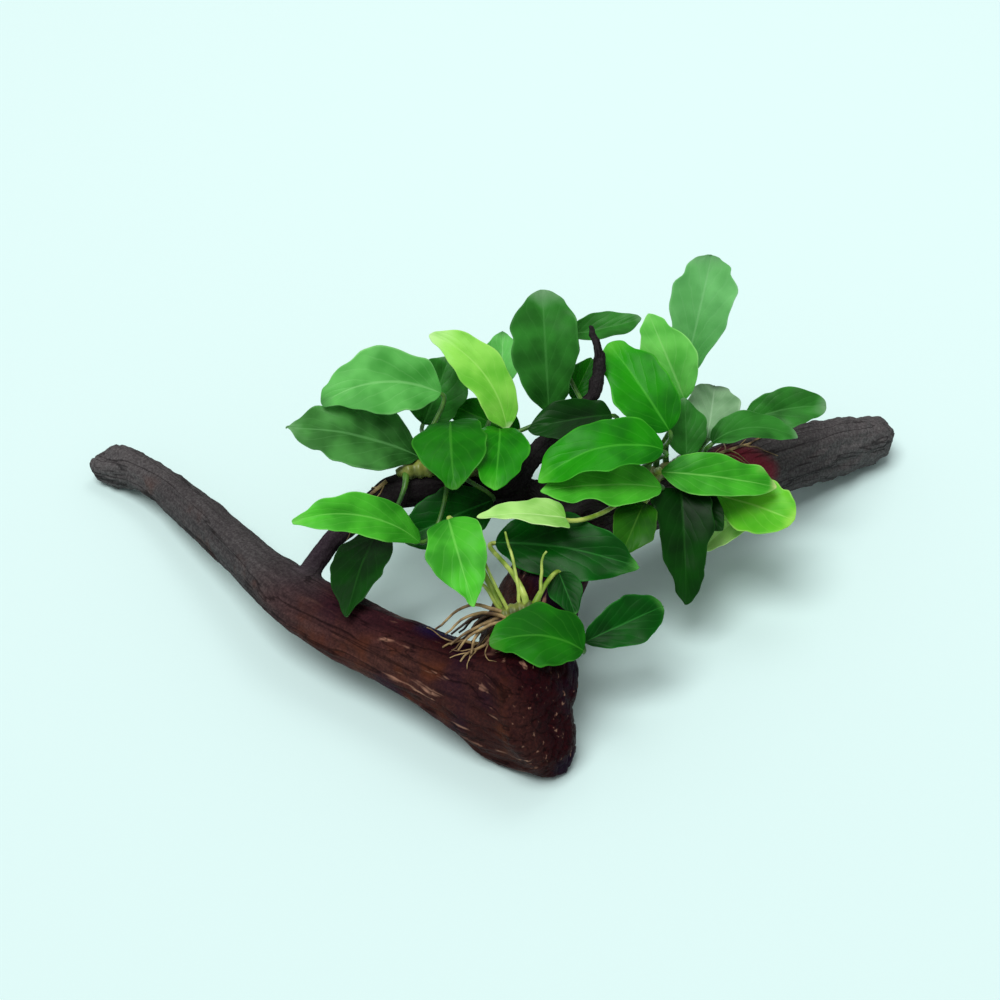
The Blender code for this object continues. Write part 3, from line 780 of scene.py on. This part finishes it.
def bark_finish(grain):
    """Wet reddish heartwood at the base, purple-brown between and charcoal grey on the drier arms, with
    painted light on the lower front flank, painted shade on the thin branches and painted wet glints near the
    base.
    """
    material, n, skin = new_finish("wet driftwood bark")
    lines = n.group(grain)
    place = n.place()
    tones = {name: n.mix(lines["Fibres"], *pair) for name, pair in WOOD_TONES.items()}
    wander = n.math("MULTIPLY_ADD", n.noise(place, 22.0, 2.0), TONES_WANDER, -TONES_WANDER / 2)
    away = n.math("ADD", lines["From base"], wander)
    near = n.less(1.0, n.ramp(away, *BASE_FADES))

    charcoal = n.stain_or_light(tones["charcoal"], n.ramp(away, *CHARCOAL_PALES), *MARKS_AND_GLINTS["arm end"])
    colour = n.mix(n.ramp(away, *UMBER_TO_PLUM), tones["umber"], tones["plum"])
    # Painted light: the lower front flank laid lighter and ruddier, over its brown tone
    bare = n.scale_to(n.ramp(away, *FLANK_LIGHT_GROWS), *FLANK_LIGHT_STRENGTH)
    colour = n.stain_or_light(colour, lines["Front flank"], bare, tones["ruddy"])
    colour = n.mix(n.ramp(away, *PLUM_TO_CHARCOAL), colour, charcoal)
    # Painted shade: the bridge branch and the twig darkened, dusky on the bridge and near black on the twig
    thin = n.add("ShaderNodeAttribute", attribute_name="thin branch").outputs["Fac"]
    shaded = n.mix(n.ramp(lines["From base"], *DUSKY_TO_BLACK), tones["dusky"], tones["black"])
    colour = n.stain_or_light(colour, thin, THIN_BRANCH_SHADE, shaded)

    colour = n.stain_or_light(colour, n.less(1.0, lines["Specks"]), *MARKS_AND_GLINTS["speckle"])
    rusty = n.times(n.ramp(n.noise(place, 60.0, 5.0), 0.52, 0.7), lines["Front flank"])
    colour = n.stain_or_light(colour, rusty, *MARKS_AND_GLINTS["rust"])
    inky = n.times(n.ramp(n.noise(place, 36.0, 1.0), 0.5, 0.36), near)
    colour = n.stain_or_light(colour, inky, *MARKS_AND_GLINTS["ink"])
    # Painted highlight: wet glints in pale tan streaks along the grain near the base
    glints = n.times(n.ramp(lines["Streaks"], 0.63, 0.76), near)
    colour = n.stain_or_light(colour, glints, *MARKS_AND_GLINTS["glint"])
    for spot, reach in RED_PATCHES:
        from_spot = n.vector("DISTANCE", place, spot).outputs["Value"]
        colour = n.stain_or_light(colour, n.less(1.0, n.ramp(from_spot, reach * 0.3, reach)), *MARKS_AND_GLINTS["red"])
    from_spot = n.vector("DISTANCE", place, BLUE_PATCH).outputs["Value"]
    colour = n.stain_or_light(colour, n.less(1.0, n.ramp(from_spot, *BLUE_PATCH_FADES)), *MARKS_AND_GLINTS["blue"])
    colour = n.stain_or_light(colour, lines["Cracks"], *MARKS_AND_GLINTS["crack"])
    n.feed(skin["Base Color"], colour)

    dry = n.math("MULTIPLY_ADD", lines["Specks"], -0.25, n.ramp(away, *WET_TO_DRY))
    n.feed(skin["Roughness"], n.scale_to(dry, 0.34, 0.78))
    n.feed(skin["Specular IOR Level"], 0.012)
    coarse = n.bump(lines["Fibres"], 0.5, 0.7 * MM)
    n.feed(skin["Normal"], n.bump(lines["Specks"], 0.45, 0.35 * MM, coarse))
    return material


def root_finish(mottle, name, dark, pale):
    material, n, skin = new_finish(name)
    blotch = n.group(mottle, Size=5.0)
    n.feed(skin["Base Color"], n.mix(blotch["Mottle"], dark, pale))
    n.feed(skin["Roughness"], n.scale_to(blotch["Cells"], 0.75, 0.55))
    n.feed(skin["Normal"], n.bump(blotch["Cells"], 0.3, 0.15 * MM))
    return material


# Driftwood


def smooth_route(route, steps):
    """Points on a smooth curve through the route's own points, steps to each span."""
    points = [Vector(row) for row in route]
    padded = [points[0] * 2 - points[1], *points, points[-1] * 2 - points[-2]]
    found = []
    for a, b, c, d in zip(padded, padded[1:], padded[2:], padded[3:]):
        bend = 2 * a - 5 * b + 4 * c - d
        twist = 3 * b - a - 3 * c + d
        for step in range(steps):
            t = step / steps
            found.append(0.5 * (2 * b + (c - a) * t + bend * t**2 + twist * t**3))
    return [*found, points[-1]]


def limb_grain(points_mm, start, line):
    """Each point's place along, across and above one limb, and how far outside the limb's skin it lies."""
    spine = np.array([row[:] for row in smooth_route(line, LIMB_STEPS)])
    steps = np.diff(spine[:, :3], axis=0)
    lengths = np.linalg.norm(steps, axis=1)
    runs = start + np.concatenate([[0], np.cumsum(lengths)])
    best = np.full(len(points_mm), np.inf)
    grain = np.zeros((len(points_mm), 3))
    for i, (step, length) in enumerate(zip(steps, lengths)):
        along = step / length
        side = np.cross(along, (0, 0, 1))
        side /= np.linalg.norm(side)
        up = np.cross(side, along)
        offset = points_mm - spine[i, :3]
        share = np.clip(offset @ along / length, 0, 1)
        away = offset - np.outer(share * length, along)
        radius = spine[i, 3] + (spine[i + 1, 3] - spine[i, 3]) * share
        outside = np.linalg.norm(away, axis=1) - radius
        nearer = outside < best
        best[nearer] = outside[nearer]
        found = np.stack([runs[i] + offset @ along, offset @ side, offset @ up], axis=1)
        grain[nearer] = found[nearer]
    return grain, best


def wood_grain(points):
    """Places along and across the wood's own grain, in millimetres, and how much of each is thin branch."""
    points_mm = (points - np.array(CENTRING)) / MM
    total = np.zeros(len(points))
    thin = np.zeros(len(points))
    grain = np.zeros((len(points), 3))
    for limb, (start, line) in LIMB_LINES.items():
        found, outside = limb_grain(points_mm, start, line)
        weight = np.exp(-outside / LIMB_BLEND_MM)
        grain += found * weight[:, None]
        total += weight
        if limb in THIN_LIMBS:
            thin += weight
    return grain / total[:, None], thin / total


def carve(wood, name, heights, depth):
    """Raises the surface by depth where the heights are 1 and leaves it where they are 0."""
    group = wood.vertex_groups.new(name=name)
    for i, height in enumerate(heights):
        group.add([i], float(height), "REPLACE")
    modify(wood, "DISPLACE", vertex_group=name, strength=depth, mid_level=0.0)
    wood.vertex_groups.remove(wood.vertex_groups[name])


def grain_noise(spot, along, sideways, shift=0):
    """Noise between -1 and 1 that is this fine along the grain and sideways to it."""
    run, across, up = spot
    return noise.noise(Vector((run * along, across * sideways, up * sideways + shift)))


def fibre_heights(grain):
    """Long ridges and grooves, and deeper cracks, all running with the grain: 0 low, 1 high."""
    ridges = []
    cracks = []
    for spot in grain:
        height = 0.5
        for along, sideways, share in FIBRES:
            height += share * grain_noise(spot, along, sideways)
        ridges.append(min(max(height, 0), 1))
        cracks.append(min(abs(grain_noise(spot, *CRACK_FINENESS, CRACK_SHIFT)) / CRACK_EDGE, 1))
    return np.array(ridges), np.array(cracks)


def make_driftwood(finish):
    parts = [own_copy(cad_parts[node], node + " shape") for node in WOOD_NODES]
    for part in parts:
        part.parent = None
    wood = join(parts, "driftwood")
    open_edit(wood)
    bpy.ops.mesh.select_all(action="SELECT")
    bpy.ops.mesh.remove_doubles(threshold=WELD)
    close_edit()
    modify(wood, "REMESH", mode="VOXEL", voxel_size=WOOD_VOXEL)
    modify(wood, "SMOOTH", factor=0.5, iterations=WOOD_SMOOTHING)
    modify(wood, "DISPLACE", texture=cloud("lumps", LUMP_SIZE, 2), strength=LUMP_DEPTH, mid_level=0.5)

    count = len(wood.data.vertices)
    places = np.empty(count * 3)
    wood.data.vertices.foreach_get("co", places)
    grain, thin = wood_grain(places.reshape(-1, 3))
    rougher = np.clip((grain[:, 0] - ARM_END_STARTS_MM) / ARM_END_FADES_IN_MM, 0, 1)
    ridges, cracks = fibre_heights(grain)
    stout = 1 - THIN_LIMBS_SMOOTHER * thin
    carve(wood, "allowance", stout, -(FIBRE_DEPTH / 2 + CRACK_DEPTH))
    carve(wood, "fibres", ridges * stout, FIBRE_DEPTH)
    carve(wood, "cracks", cracks * stout, CRACK_DEPTH)
    group = wood.vertex_groups.new(name="ragged ends")
    for i in np.flatnonzero(rougher):
        group.add([int(i)], float(rougher[i]), "REPLACE")
    modify(
        wood, "DISPLACE", texture=cloud("ragged ends", RAGGED_END_SIZE, 2), vertex_group="ragged ends",
        strength=RAGGED_END_DEPTH, mid_level=0.5,
    )
    sit_down(wood)

    layer = wood.data.attributes.new("grain", "FLOAT_VECTOR", "POINT")
    layer.data.foreach_set("vector", grain.astype(np.float32).ravel())
    layer = wood.data.attributes.new("thin branch", "FLOAT", "POINT")
    layer.data.foreach_set("value", thin.astype(np.float32))
    wood.data.materials.clear()
    wood.data.materials.append(finish)
    hand_in(wood, "wet_bark", *WOOD_NODES)
    return wood


def sit_down(wood):
    """Wears the underside flat on the surface that the wood rests on."""
    open_edit(wood)
    pick(lambda vert: vert.co.z < WORN_BELOW)
    bpy.ops.transform.resize(value=(1, 1, 0), center_override=(0, 0, 0))
    close_edit()


# Creeping stems and roots


def upper_surface(node):
    return BVHTree.FromObject(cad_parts[node], bpy.context.evaluated_depsgraph_get())


def lay_on(tree, place, lift):
    """A point over the x, y place, at the given distance out from the wood's upper surface."""
    start = Vector((place[0] * MM, place[1] * MM, ABOVE_THE_WOOD)) + CENTRING
    hit, normal, _, _ = tree.ray_cast(start, Vector((0, 0, -1)))
    return hit + normal * lift


def crown_line(name, surfaces):
    carrier, places = CROWNS[name]
    laid = [lay_on(surfaces[carrier], place, CROWN_RADIUS - CROWN_SINK) for place in places]
    return smooth_route(laid, CREEPER_STEPS)


def thread(name, points, radii, thickness, sides=3):
    """A round strand through the points, each with its own share of the thickness."""
    bpy.ops.curve.primitive_bezier_curve_add()
    strand = bpy.context.object
    strand.name = name
    curve = strand.data
    curve.splines.clear()
    curve.dimensions = "3D"
    spline = curve.splines.new("POLY")
    spline.points.add(len(points) - 1)
    for point, place, radius in zip(spline.points, points, radii):
        point.co = (*place, 1)
        point.radius = radius
    curve.bevel_depth = thickness
    curve.bevel_resolution = sides
    curve.use_fill_caps = True
    take(strand)
    bpy.ops.object.convert(target="MESH")
    return bpy.context.object


def bare_strand(route, finish_name):
    """A tapering strand through a few places, bent a little to and fro."""
    places = smooth_route([Vector(place) * MM + CENTRING for place in route], STRAND_STEPS)
    last = len(places) - 1
    for i in range(1, last):
        places[i] += noise.noise_vector(places[i] * STRAND_SWAY_PACE) * STRAND_SWAY_MM * MM
    strand = thread("bare strand", places, [1.2 - 0.6 * i / last for i in range(last + 1)], STRAND_RADIUS)
    strand.data.materials.append(bpy.data.materials[finish_name])
    return strand


def make_creeping_stem(name, line, finish):
    """A knobbly stem ringed with the scars of old leaves."""
    fine = smooth_route(line, STEM_STEPS)
    last = len(fine) - 1
    radii = []
    for i in range(len(fine)):
        share = i / last
        ends = min(1, STEM_END + STEM_END_RISE * share, STEM_END + STEM_END_RISE * (1 - share))
        radii.append(ends * (1 + SCAR_SWELL * math.sin(2 * math.pi * SCARS_PER_STEM * share)))
    stem = thread(f"{name}_creeping_stem", fine, radii, CROWN_RADIUS, STEM_SIDES)
    modify(stem, "SUBSURF", levels=1, render_levels=1)
    modify(stem, "DISPLACE", texture=cloud("stem knobs", KNOB_SIZE, 2), strength=KNOB_DEPTH, mid_level=0.5)
    stem.data.materials.append(finish)
    if name == "front":
        strands = [stem]
        for routes, skin in (
            (OLD_STALKS, "pale leaf stalk"),
            (ARCHING_ROOTS, "root skin"),
            (DARK_ROOTS, "dark root skin"),
        ):
            strands += [bare_strand(route, skin) for route in routes]
        stem = join(strands, "front_creeping_stem")
    hand_in(stem, "stem_skin", f"creeping_stem_{name}")


def creep(tree, start, heading, steps, lift, seed):
    """A wandering line over the wood's surface from a start point."""
    places = []
    spot = Vector(start)
    heading = Vector(heading).normalized()
    for step in range(steps):
        near, normal, _, _ = tree.find_nearest(spot)
        places.append(near + normal * lift)
        sway = noise.noise(Vector((step * ROOT_SWAY_PACE, seed * SEED_STRIDE, 0.5))) * ROOT_SWAY
        side = normal.cross(heading)
        heading = (heading - normal * heading.dot(normal) + side * sway * ROOT_TURN).normalized()
        spot = places[-1] + heading * ROOT_STEP
    return places


def make_root(name, surface, places, wood_tree, finish, seed):
    """A root that hugs the bark, with thin side roots that leave it left and right."""
    laid = [lay_on(surface, place, 0) for place in smooth_route([(*p, 0) for p in places], CREEPER_STEPS)]
    main = []
    for spot in smooth_route(laid, 2):
        near, normal, _, _ = wood_tree.find_nearest(spot)
        main.append(near + normal * ROOT_RADIUS * ROOT_SINK)
    last = len(main) - 1
    strands = [thread(name, main, [1 - ROOT_TAPER * i / last for i in range(last + 1)], ROOT_RADIUS)]
    for i in range(SIDE_ROOTS):
        at = 1 + i * (last - 3) // SIDE_ROOTS
        along = main[at + 1] - main[at]
        turn = 1 if i % 2 else -1
        heading = along + along.cross(Vector((0, 0, 1))) * turn
        steps = SIDE_ROOT_LENGTHS[(i * 3 + seed) % len(SIDE_ROOT_LENGTHS)]
        places = creep(wood_tree, main[at], heading, steps, SIDE_ROOT_RADIUS * SIDE_ROOT_SINK, seed * 7 + i)
        radii = [1 - SIDE_ROOT_TAPER * k / steps for k in range(steps)]
        strands.append(thread("side root", places, radii, SIDE_ROOT_RADIUS, 2))
    root = join(strands, name.replace("root_", "") + "_root")
    root.data.materials.append(finish)
    hand_in(root, "root_skin", name)


# Leaves


def fullness(form, t):
    """How wide the blade is at t along it, as a share of its full width."""
    skew, squareness = FORMS[form]
    plain = math.sin(math.pi * t**skew) ** squareness if 0 < t < 1 else 0
    return max(plain, FOOT_SHARE if t < 0.5 else TIP_SHARE)


def blade_pattern(form):
    """A flat blade one unit long and wide, standing along Z with its upper face to the front."""
    bpy.ops.mesh.primitive_grid_add(
        x_subdivisions=BLADE_COLUMNS, y_subdivisions=BLADE_ROWS, size=1, rotation=(math.pi / 2, 0, 0)
    )
    blade = bpy.context.object
    blade.name = form + " blade pattern"
    settle(blade)
    open_edit(blade)
    in_row = BLADE_COLUMNS + 1
    for row in range(BLADE_ROWS + 1):
        t = (1 - math.cos(math.pi * row / BLADE_ROWS)) / 2
        height = row / BLADE_ROWS - 0.5
        pick(lambda vert: vert.index // in_row == row)
        bpy.ops.transform.resize(value=(fullness(form, t), 1, 1), center_override=(0, 0, height))
        bpy.ops.transform.translate(value=(0, 0, t - 0.5 - height))
    close_edit()
    margin = blade.vertex_groups.new(name="margin")
    for vert in blade.data.vertices:
        off_middle = abs(2 * (vert.index % in_row) / BLADE_COLUMNS - 1)
        row = vert.index // in_row
        calm_ends = min(1, row / CALM_ROWS, (BLADE_ROWS - row) / CALM_ROWS)
        margin.add([vert.index], off_middle**2 * calm_ends, "REPLACE")
    return blade


def bow_of(rise):
    """The angle of an arc that rises this share of its chord, and how much longer it is than the chord."""
    bow = 4 * math.atan(2 * rise)
    return bow, (bow / 2) / math.sin(bow / 2) if bow else 1


def shape_blade(blade, width, length, arch, sweep, fold, own):
    """Sizes the flat pattern, makes its outline its own, folds and sinks its midrib, and bends it."""
    bow, arch_stretch = bow_of(arch)
    curve, sweep_stretch = bow_of(sweep / length)
    blade.scale = (width, 1, length * arch_stretch * sweep_stretch)
    blade.location.y = own
    settle(blade)
    modify(
        blade, "DISPLACE", texture=bpy.data.textures["margin lobes"], direction="X", vertex_group="margin",
        strength=width * LOBE_DEPTH, mid_level=0.5,
    )
    blade.location.y = -own
    settle(blade)
    open_edit(blade)
    for half in (1, -1):
        pick(lambda vert: vert.co.x * half > WELD)
        bpy.ops.transform.rotate(value=half * math.radians(fold), orient_axis="Z", center_override=(0, 0, 0))
    pick(lambda vert: abs(vert.co.x) <= WELD)
    bpy.ops.transform.translate(
        value=(0, GROOVE_DEPTH, 0), use_proportional_edit=True, proportional_edit_falloff="SMOOTH",
        proportional_size=width * GROOVE_WIDTH,
    )
    close_edit()
    if sweep:
        modify(blade, "SIMPLE_DEFORM", deform_method="BEND", deform_axis="Y", angle=-curve)
    modify(blade, "SIMPLE_DEFORM", deform_method="BEND", deform_axis="X", angle=bow)


def point_along(line, share):
    """A place on the line of a creeping stem and the line's direction there."""
    spot = share * (len(line) - 1)
    first = min(int(spot), len(line) - 2)
    along = line[first + 1] - line[first]
    return line[first] + along * (spot - first), along.normalized()


def stalk_start(line, share, lean):
    """Where a stalk leaves its creeping stem, and which way."""
    place, stem_along = point_along(line, share)
    upright = (Vector((0, 0, 1)) - stem_along * stem_along.z).normalized()
    across = upright.cross(stem_along).normalized()
    if across.y < 0:
        across = -across
    lean_by = math.radians(lean)
    outward = (upright * math.cos(lean_by) + across * math.sin(lean_by)).normalized()
    return place, outward


def margin_at(row, edge):
    """The number of the vertex at the left or right end of this row."""
    return row * (BLADE_COLUMNS + 1) + (0 if edge == "left" else BLADE_COLUMNS)


def push_margin(blade, spot, way, falloff, reach):
    """Pushes the margin this way at one vertex, and less the farther from it."""
    open_edit(blade)
    pick(lambda vert: vert.index == spot)
    bpy.ops.transform.translate(
        value=way, use_proportional_edit=True, proportional_edit_falloff=falloff, proportional_size=reach
    )
    close_edit()


def nibble(blade, row, edge, depth):
    """Pushes a bite of the margin in towards the midrib."""
    points = blade.data.vertices
    spot = margin_at(row, edge)
    inward = points[margin_at(row, "left") + BLADE_COLUMNS // 2].co - points[spot].co
    push_margin(blade, spot, inward.normalized() * depth, "SPHERE", NIBBLE_REACH)


def rib_line(blade, face):
    """Places just under the blade's midrib from foot to tip, and how thick the rib is at each."""
    places = []
    shares = []
    points = [vert.co.copy() for vert in blade.data.vertices]
    in_row = BLADE_COLUMNS + 1
    for row in range(1, BLADE_ROWS - 1, 2):
        middle = row * in_row + BLADE_COLUMNS // 2
        across = points[middle + 1] - points[middle - 1]
        along = points[middle + in_row] - points[middle - in_row]
        out = across.cross(along).normalized()
        if out.dot(face) < 0:
            out = -out
        share = RIB_SHARE * (1 - RIB_TAPER * row / BLADE_ROWS)
        places.append(points[middle] - out * (STALK_RADIUS * share))
        shares.append(share)
    return places, shares


def stalk_curve(start, outward, foot, foot_slope):
    """Places along the stalk from its creeping stem to just before the blade."""
    reach = (foot - start).length
    pull = start + outward * (reach * PULL_AT_STEM)
    push = foot - foot_slope * (reach * PULL_AT_BLADE)
    places = []
    for i in range(STALK_STEPS):
        t = i / STALK_STEPS
        rest = 1 - t
        places.append(start * rest**3 + pull * (3 * t * rest**2) + push * (3 * t**2 * rest) + foot * t**3)
    return places


def make_leaf(name, line, row, patterns, finishes):
    share, lean, foot, tip, width, facing, arch, sweep, fold, wave, form = row
    foot = Vector(foot) * MM + CENTRING
    reach = Vector(tip) * MM + CENTRING - foot
    length = reach.length
    along = reach / length
    face = Vector(facing)
    face = (face - along * face.dot(along)).normalized()
    side = along.cross(face)
    bulge = face * (arch * length) + side * (sweep * MM)

    blade = own_copy(patterns[form], f"{name}_leaf")
    shape_blade(blade, width * MM, length, arch, sweep * MM, fold, foot.x)
    turn = Matrix((side, -face, along)).transposed().to_4x4()
    blade.matrix_world = Matrix.Translation(foot + reach / 2 + bulge) @ turn
    settle(blade)
    modify(
        blade, "DISPLACE", texture=bpy.data.textures["margin waves"], texture_coords="GLOBAL",
        vertex_group="margin", strength=wave * WAVE_DEPTH, mid_level=0.5,
    )
    modify(
        blade, "DISPLACE", texture=bpy.data.textures["blade dents"], texture_coords="GLOBAL",
        strength=DENT_DEPTH, mid_level=0.5,
    )
    for bite in NIBBLES.get(name, ()):
        nibble(blade, *bite)
    for lowered_row, edge, depth in LOWERED_MARGINS.get(name, ()):
        push_margin(blade, margin_at(lowered_row, edge), -face * depth, "SMOOTH", LOWERED_REACH)
    rib, rib_shares = rib_line(blade, face)
    blade.data.materials.clear()
    for finish in finishes:
        blade.data.materials.append(finish)
    modify(blade, "SOLIDIFY", thickness=BLADE_THICKNESS, offset=-1, material_offset=1, material_offset_rim=0)
    modify(blade, "SUBSURF", levels=1, render_levels=1)

    start, outward = stalk_start(line, share, lean)
    inside = start + outward * (CROWN_RADIUS / 2)
    lower = stalk_curve(inside, outward, rib[0], (rib[1] - rib[0]).normalized())
    slimmer = STALK_FOOT - STALK_NECK
    swell = [STALK_FOOT - slimmer * min(1, 3 * i / STALK_STEPS) for i in range(STALK_STEPS)]
    stalk = thread("stalk", [*lower, *rib], [*swell, *rib_shares], STALK_RADIUS)
    pale = name in PALE_STALKS
    stalk.data.materials.append(bpy.data.materials["pale leaf stalk" if pale else "leaf stalk"])
    leaf = join([blade, stalk], f"{name}_leaf")
    hand_in(leaf, "leaf_green", f"leaf_{name}")


# Floor, light and camera


def make_stage():
    bpy.ops.mesh.primitive_plane_add(size=FLOOR_SIZE, location=(0, 0, -FLOOR_DROP))
    floor = bpy.context.object
    floor.name = "pale_floor"
    material, n, skin = new_finish("pale floor")
    n.feed(skin["Base Color"], FLOOR_COLOUR)
    n.feed(skin["Roughness"], 0.9)
    floor.data.materials.append(material)


def set_up(name, data, place, way):
    """Stands a lamp or the camera at its place, looking this way."""
    holder = bpy.data.objects.new(name, data)
    holder.location = place
    holder.rotation_euler = way.to_track_quat("-Z", "Y").to_euler()
    bpy.context.scene.collection.objects.link(holder)
    return holder


def light_and_camera():
    world = bpy.data.worlds.new("soft studio")
    world.use_nodes = True
    sky = world.node_tree.nodes["Background"].inputs
    sky["Color"].default_value = SKY_COLOUR
    sky["Strength"].default_value = SKY_STRENGTH
    bpy.context.scene.world = world

    sun = bpy.data.lights.new("key light", "SUN")
    sun.energy = SUN_STRENGTH
    sun.angle = SUN_SOFTNESS
    set_up("key light", sun, (0, 0, 0), SUN_WAY)
    lamp = bpy.data.lights.new("sheen light", "AREA")
    lamp.energy = SHEEN_WATTS
    lamp.size = SHEEN_SIZE
    set_up("sheen light", lamp, SHEEN_PLACE, TARGET - SHEEN_PLACE)

    view = bpy.data.cameras.new("photograph's view")
    view.lens = LENS
    back = Vector((0, -math.cos(CAMERA_ELEVATION), math.sin(CAMERA_ELEVATION)))
    bpy.context.scene.camera = set_up("photograph's view", view, TARGET + back * CAMERA_DISTANCE, -back)
    bpy.context.scene.view_settings.view_transform = "Standard"


def main():
    noise.seed_set(SWAY_SEED)
    veins = leaf_veins_group()
    mottle = blotch_group()
    grain = grain_group()
    stalk_finish(mottle, "leaf stalk", paint(34, 84, 20), paint(84, 134, 44))
    stalk_finish(mottle, "pale leaf stalk", paint(118, 152, 36), paint(194, 212, 104))
    stem_finish = stalk_finish(mottle, "creeping stem skin", paint(70, 84, 30), paint(140, 148, 66))
    roots = root_finish(mottle, "root skin", paint(80, 56, 34), paint(182, 154, 104))
    root_finish(mottle, "dark root skin", paint(24, 16, 12), paint(80, 58, 38))
    finishes = {
        name: leaf_faces(name, veins, mottle, [paint(*shade) for shade in shades])
        for name, shades in LEAF_COLOURS.items()
    }
    tint_of = {leaf: tint for tint, leaves in LEAVES_BY_COLOUR.items() for leaf in leaves}

    surfaces = {node: upper_surface(node) for node in WOOD_NODES}
    lines = {name: crown_line(name, surfaces) for name in CROWNS}
    wood = make_driftwood(bark_finish(grain))
    wood_tree = BVHTree.FromObject(wood, bpy.context.evaluated_depsgraph_get())
    for name, line in lines.items():
        make_creeping_stem(name, line, stem_finish)
    for seed, (name, carrier, places) in enumerate(ROOTS):
        make_root(name, surfaces[carrier], places, wood_tree, roots, seed)

    cloud("margin lobes", LOBE_SIZE, 2)
    cloud("margin waves", WAVE_SIZE)
    cloud("blade dents", DENT_SIZE)
    patterns = {form: blade_pattern(form) for form in FORMS}
    for stem, leaves in LEAVES.items():
        for name, row in leaves.items():
            make_leaf(name, lines[stem], row, patterns, finishes[tint_of[name]])
    for pattern in patterns.values():
        bpy.data.objects.remove(pattern)

    make_stage()
    light_and_camera()


main()
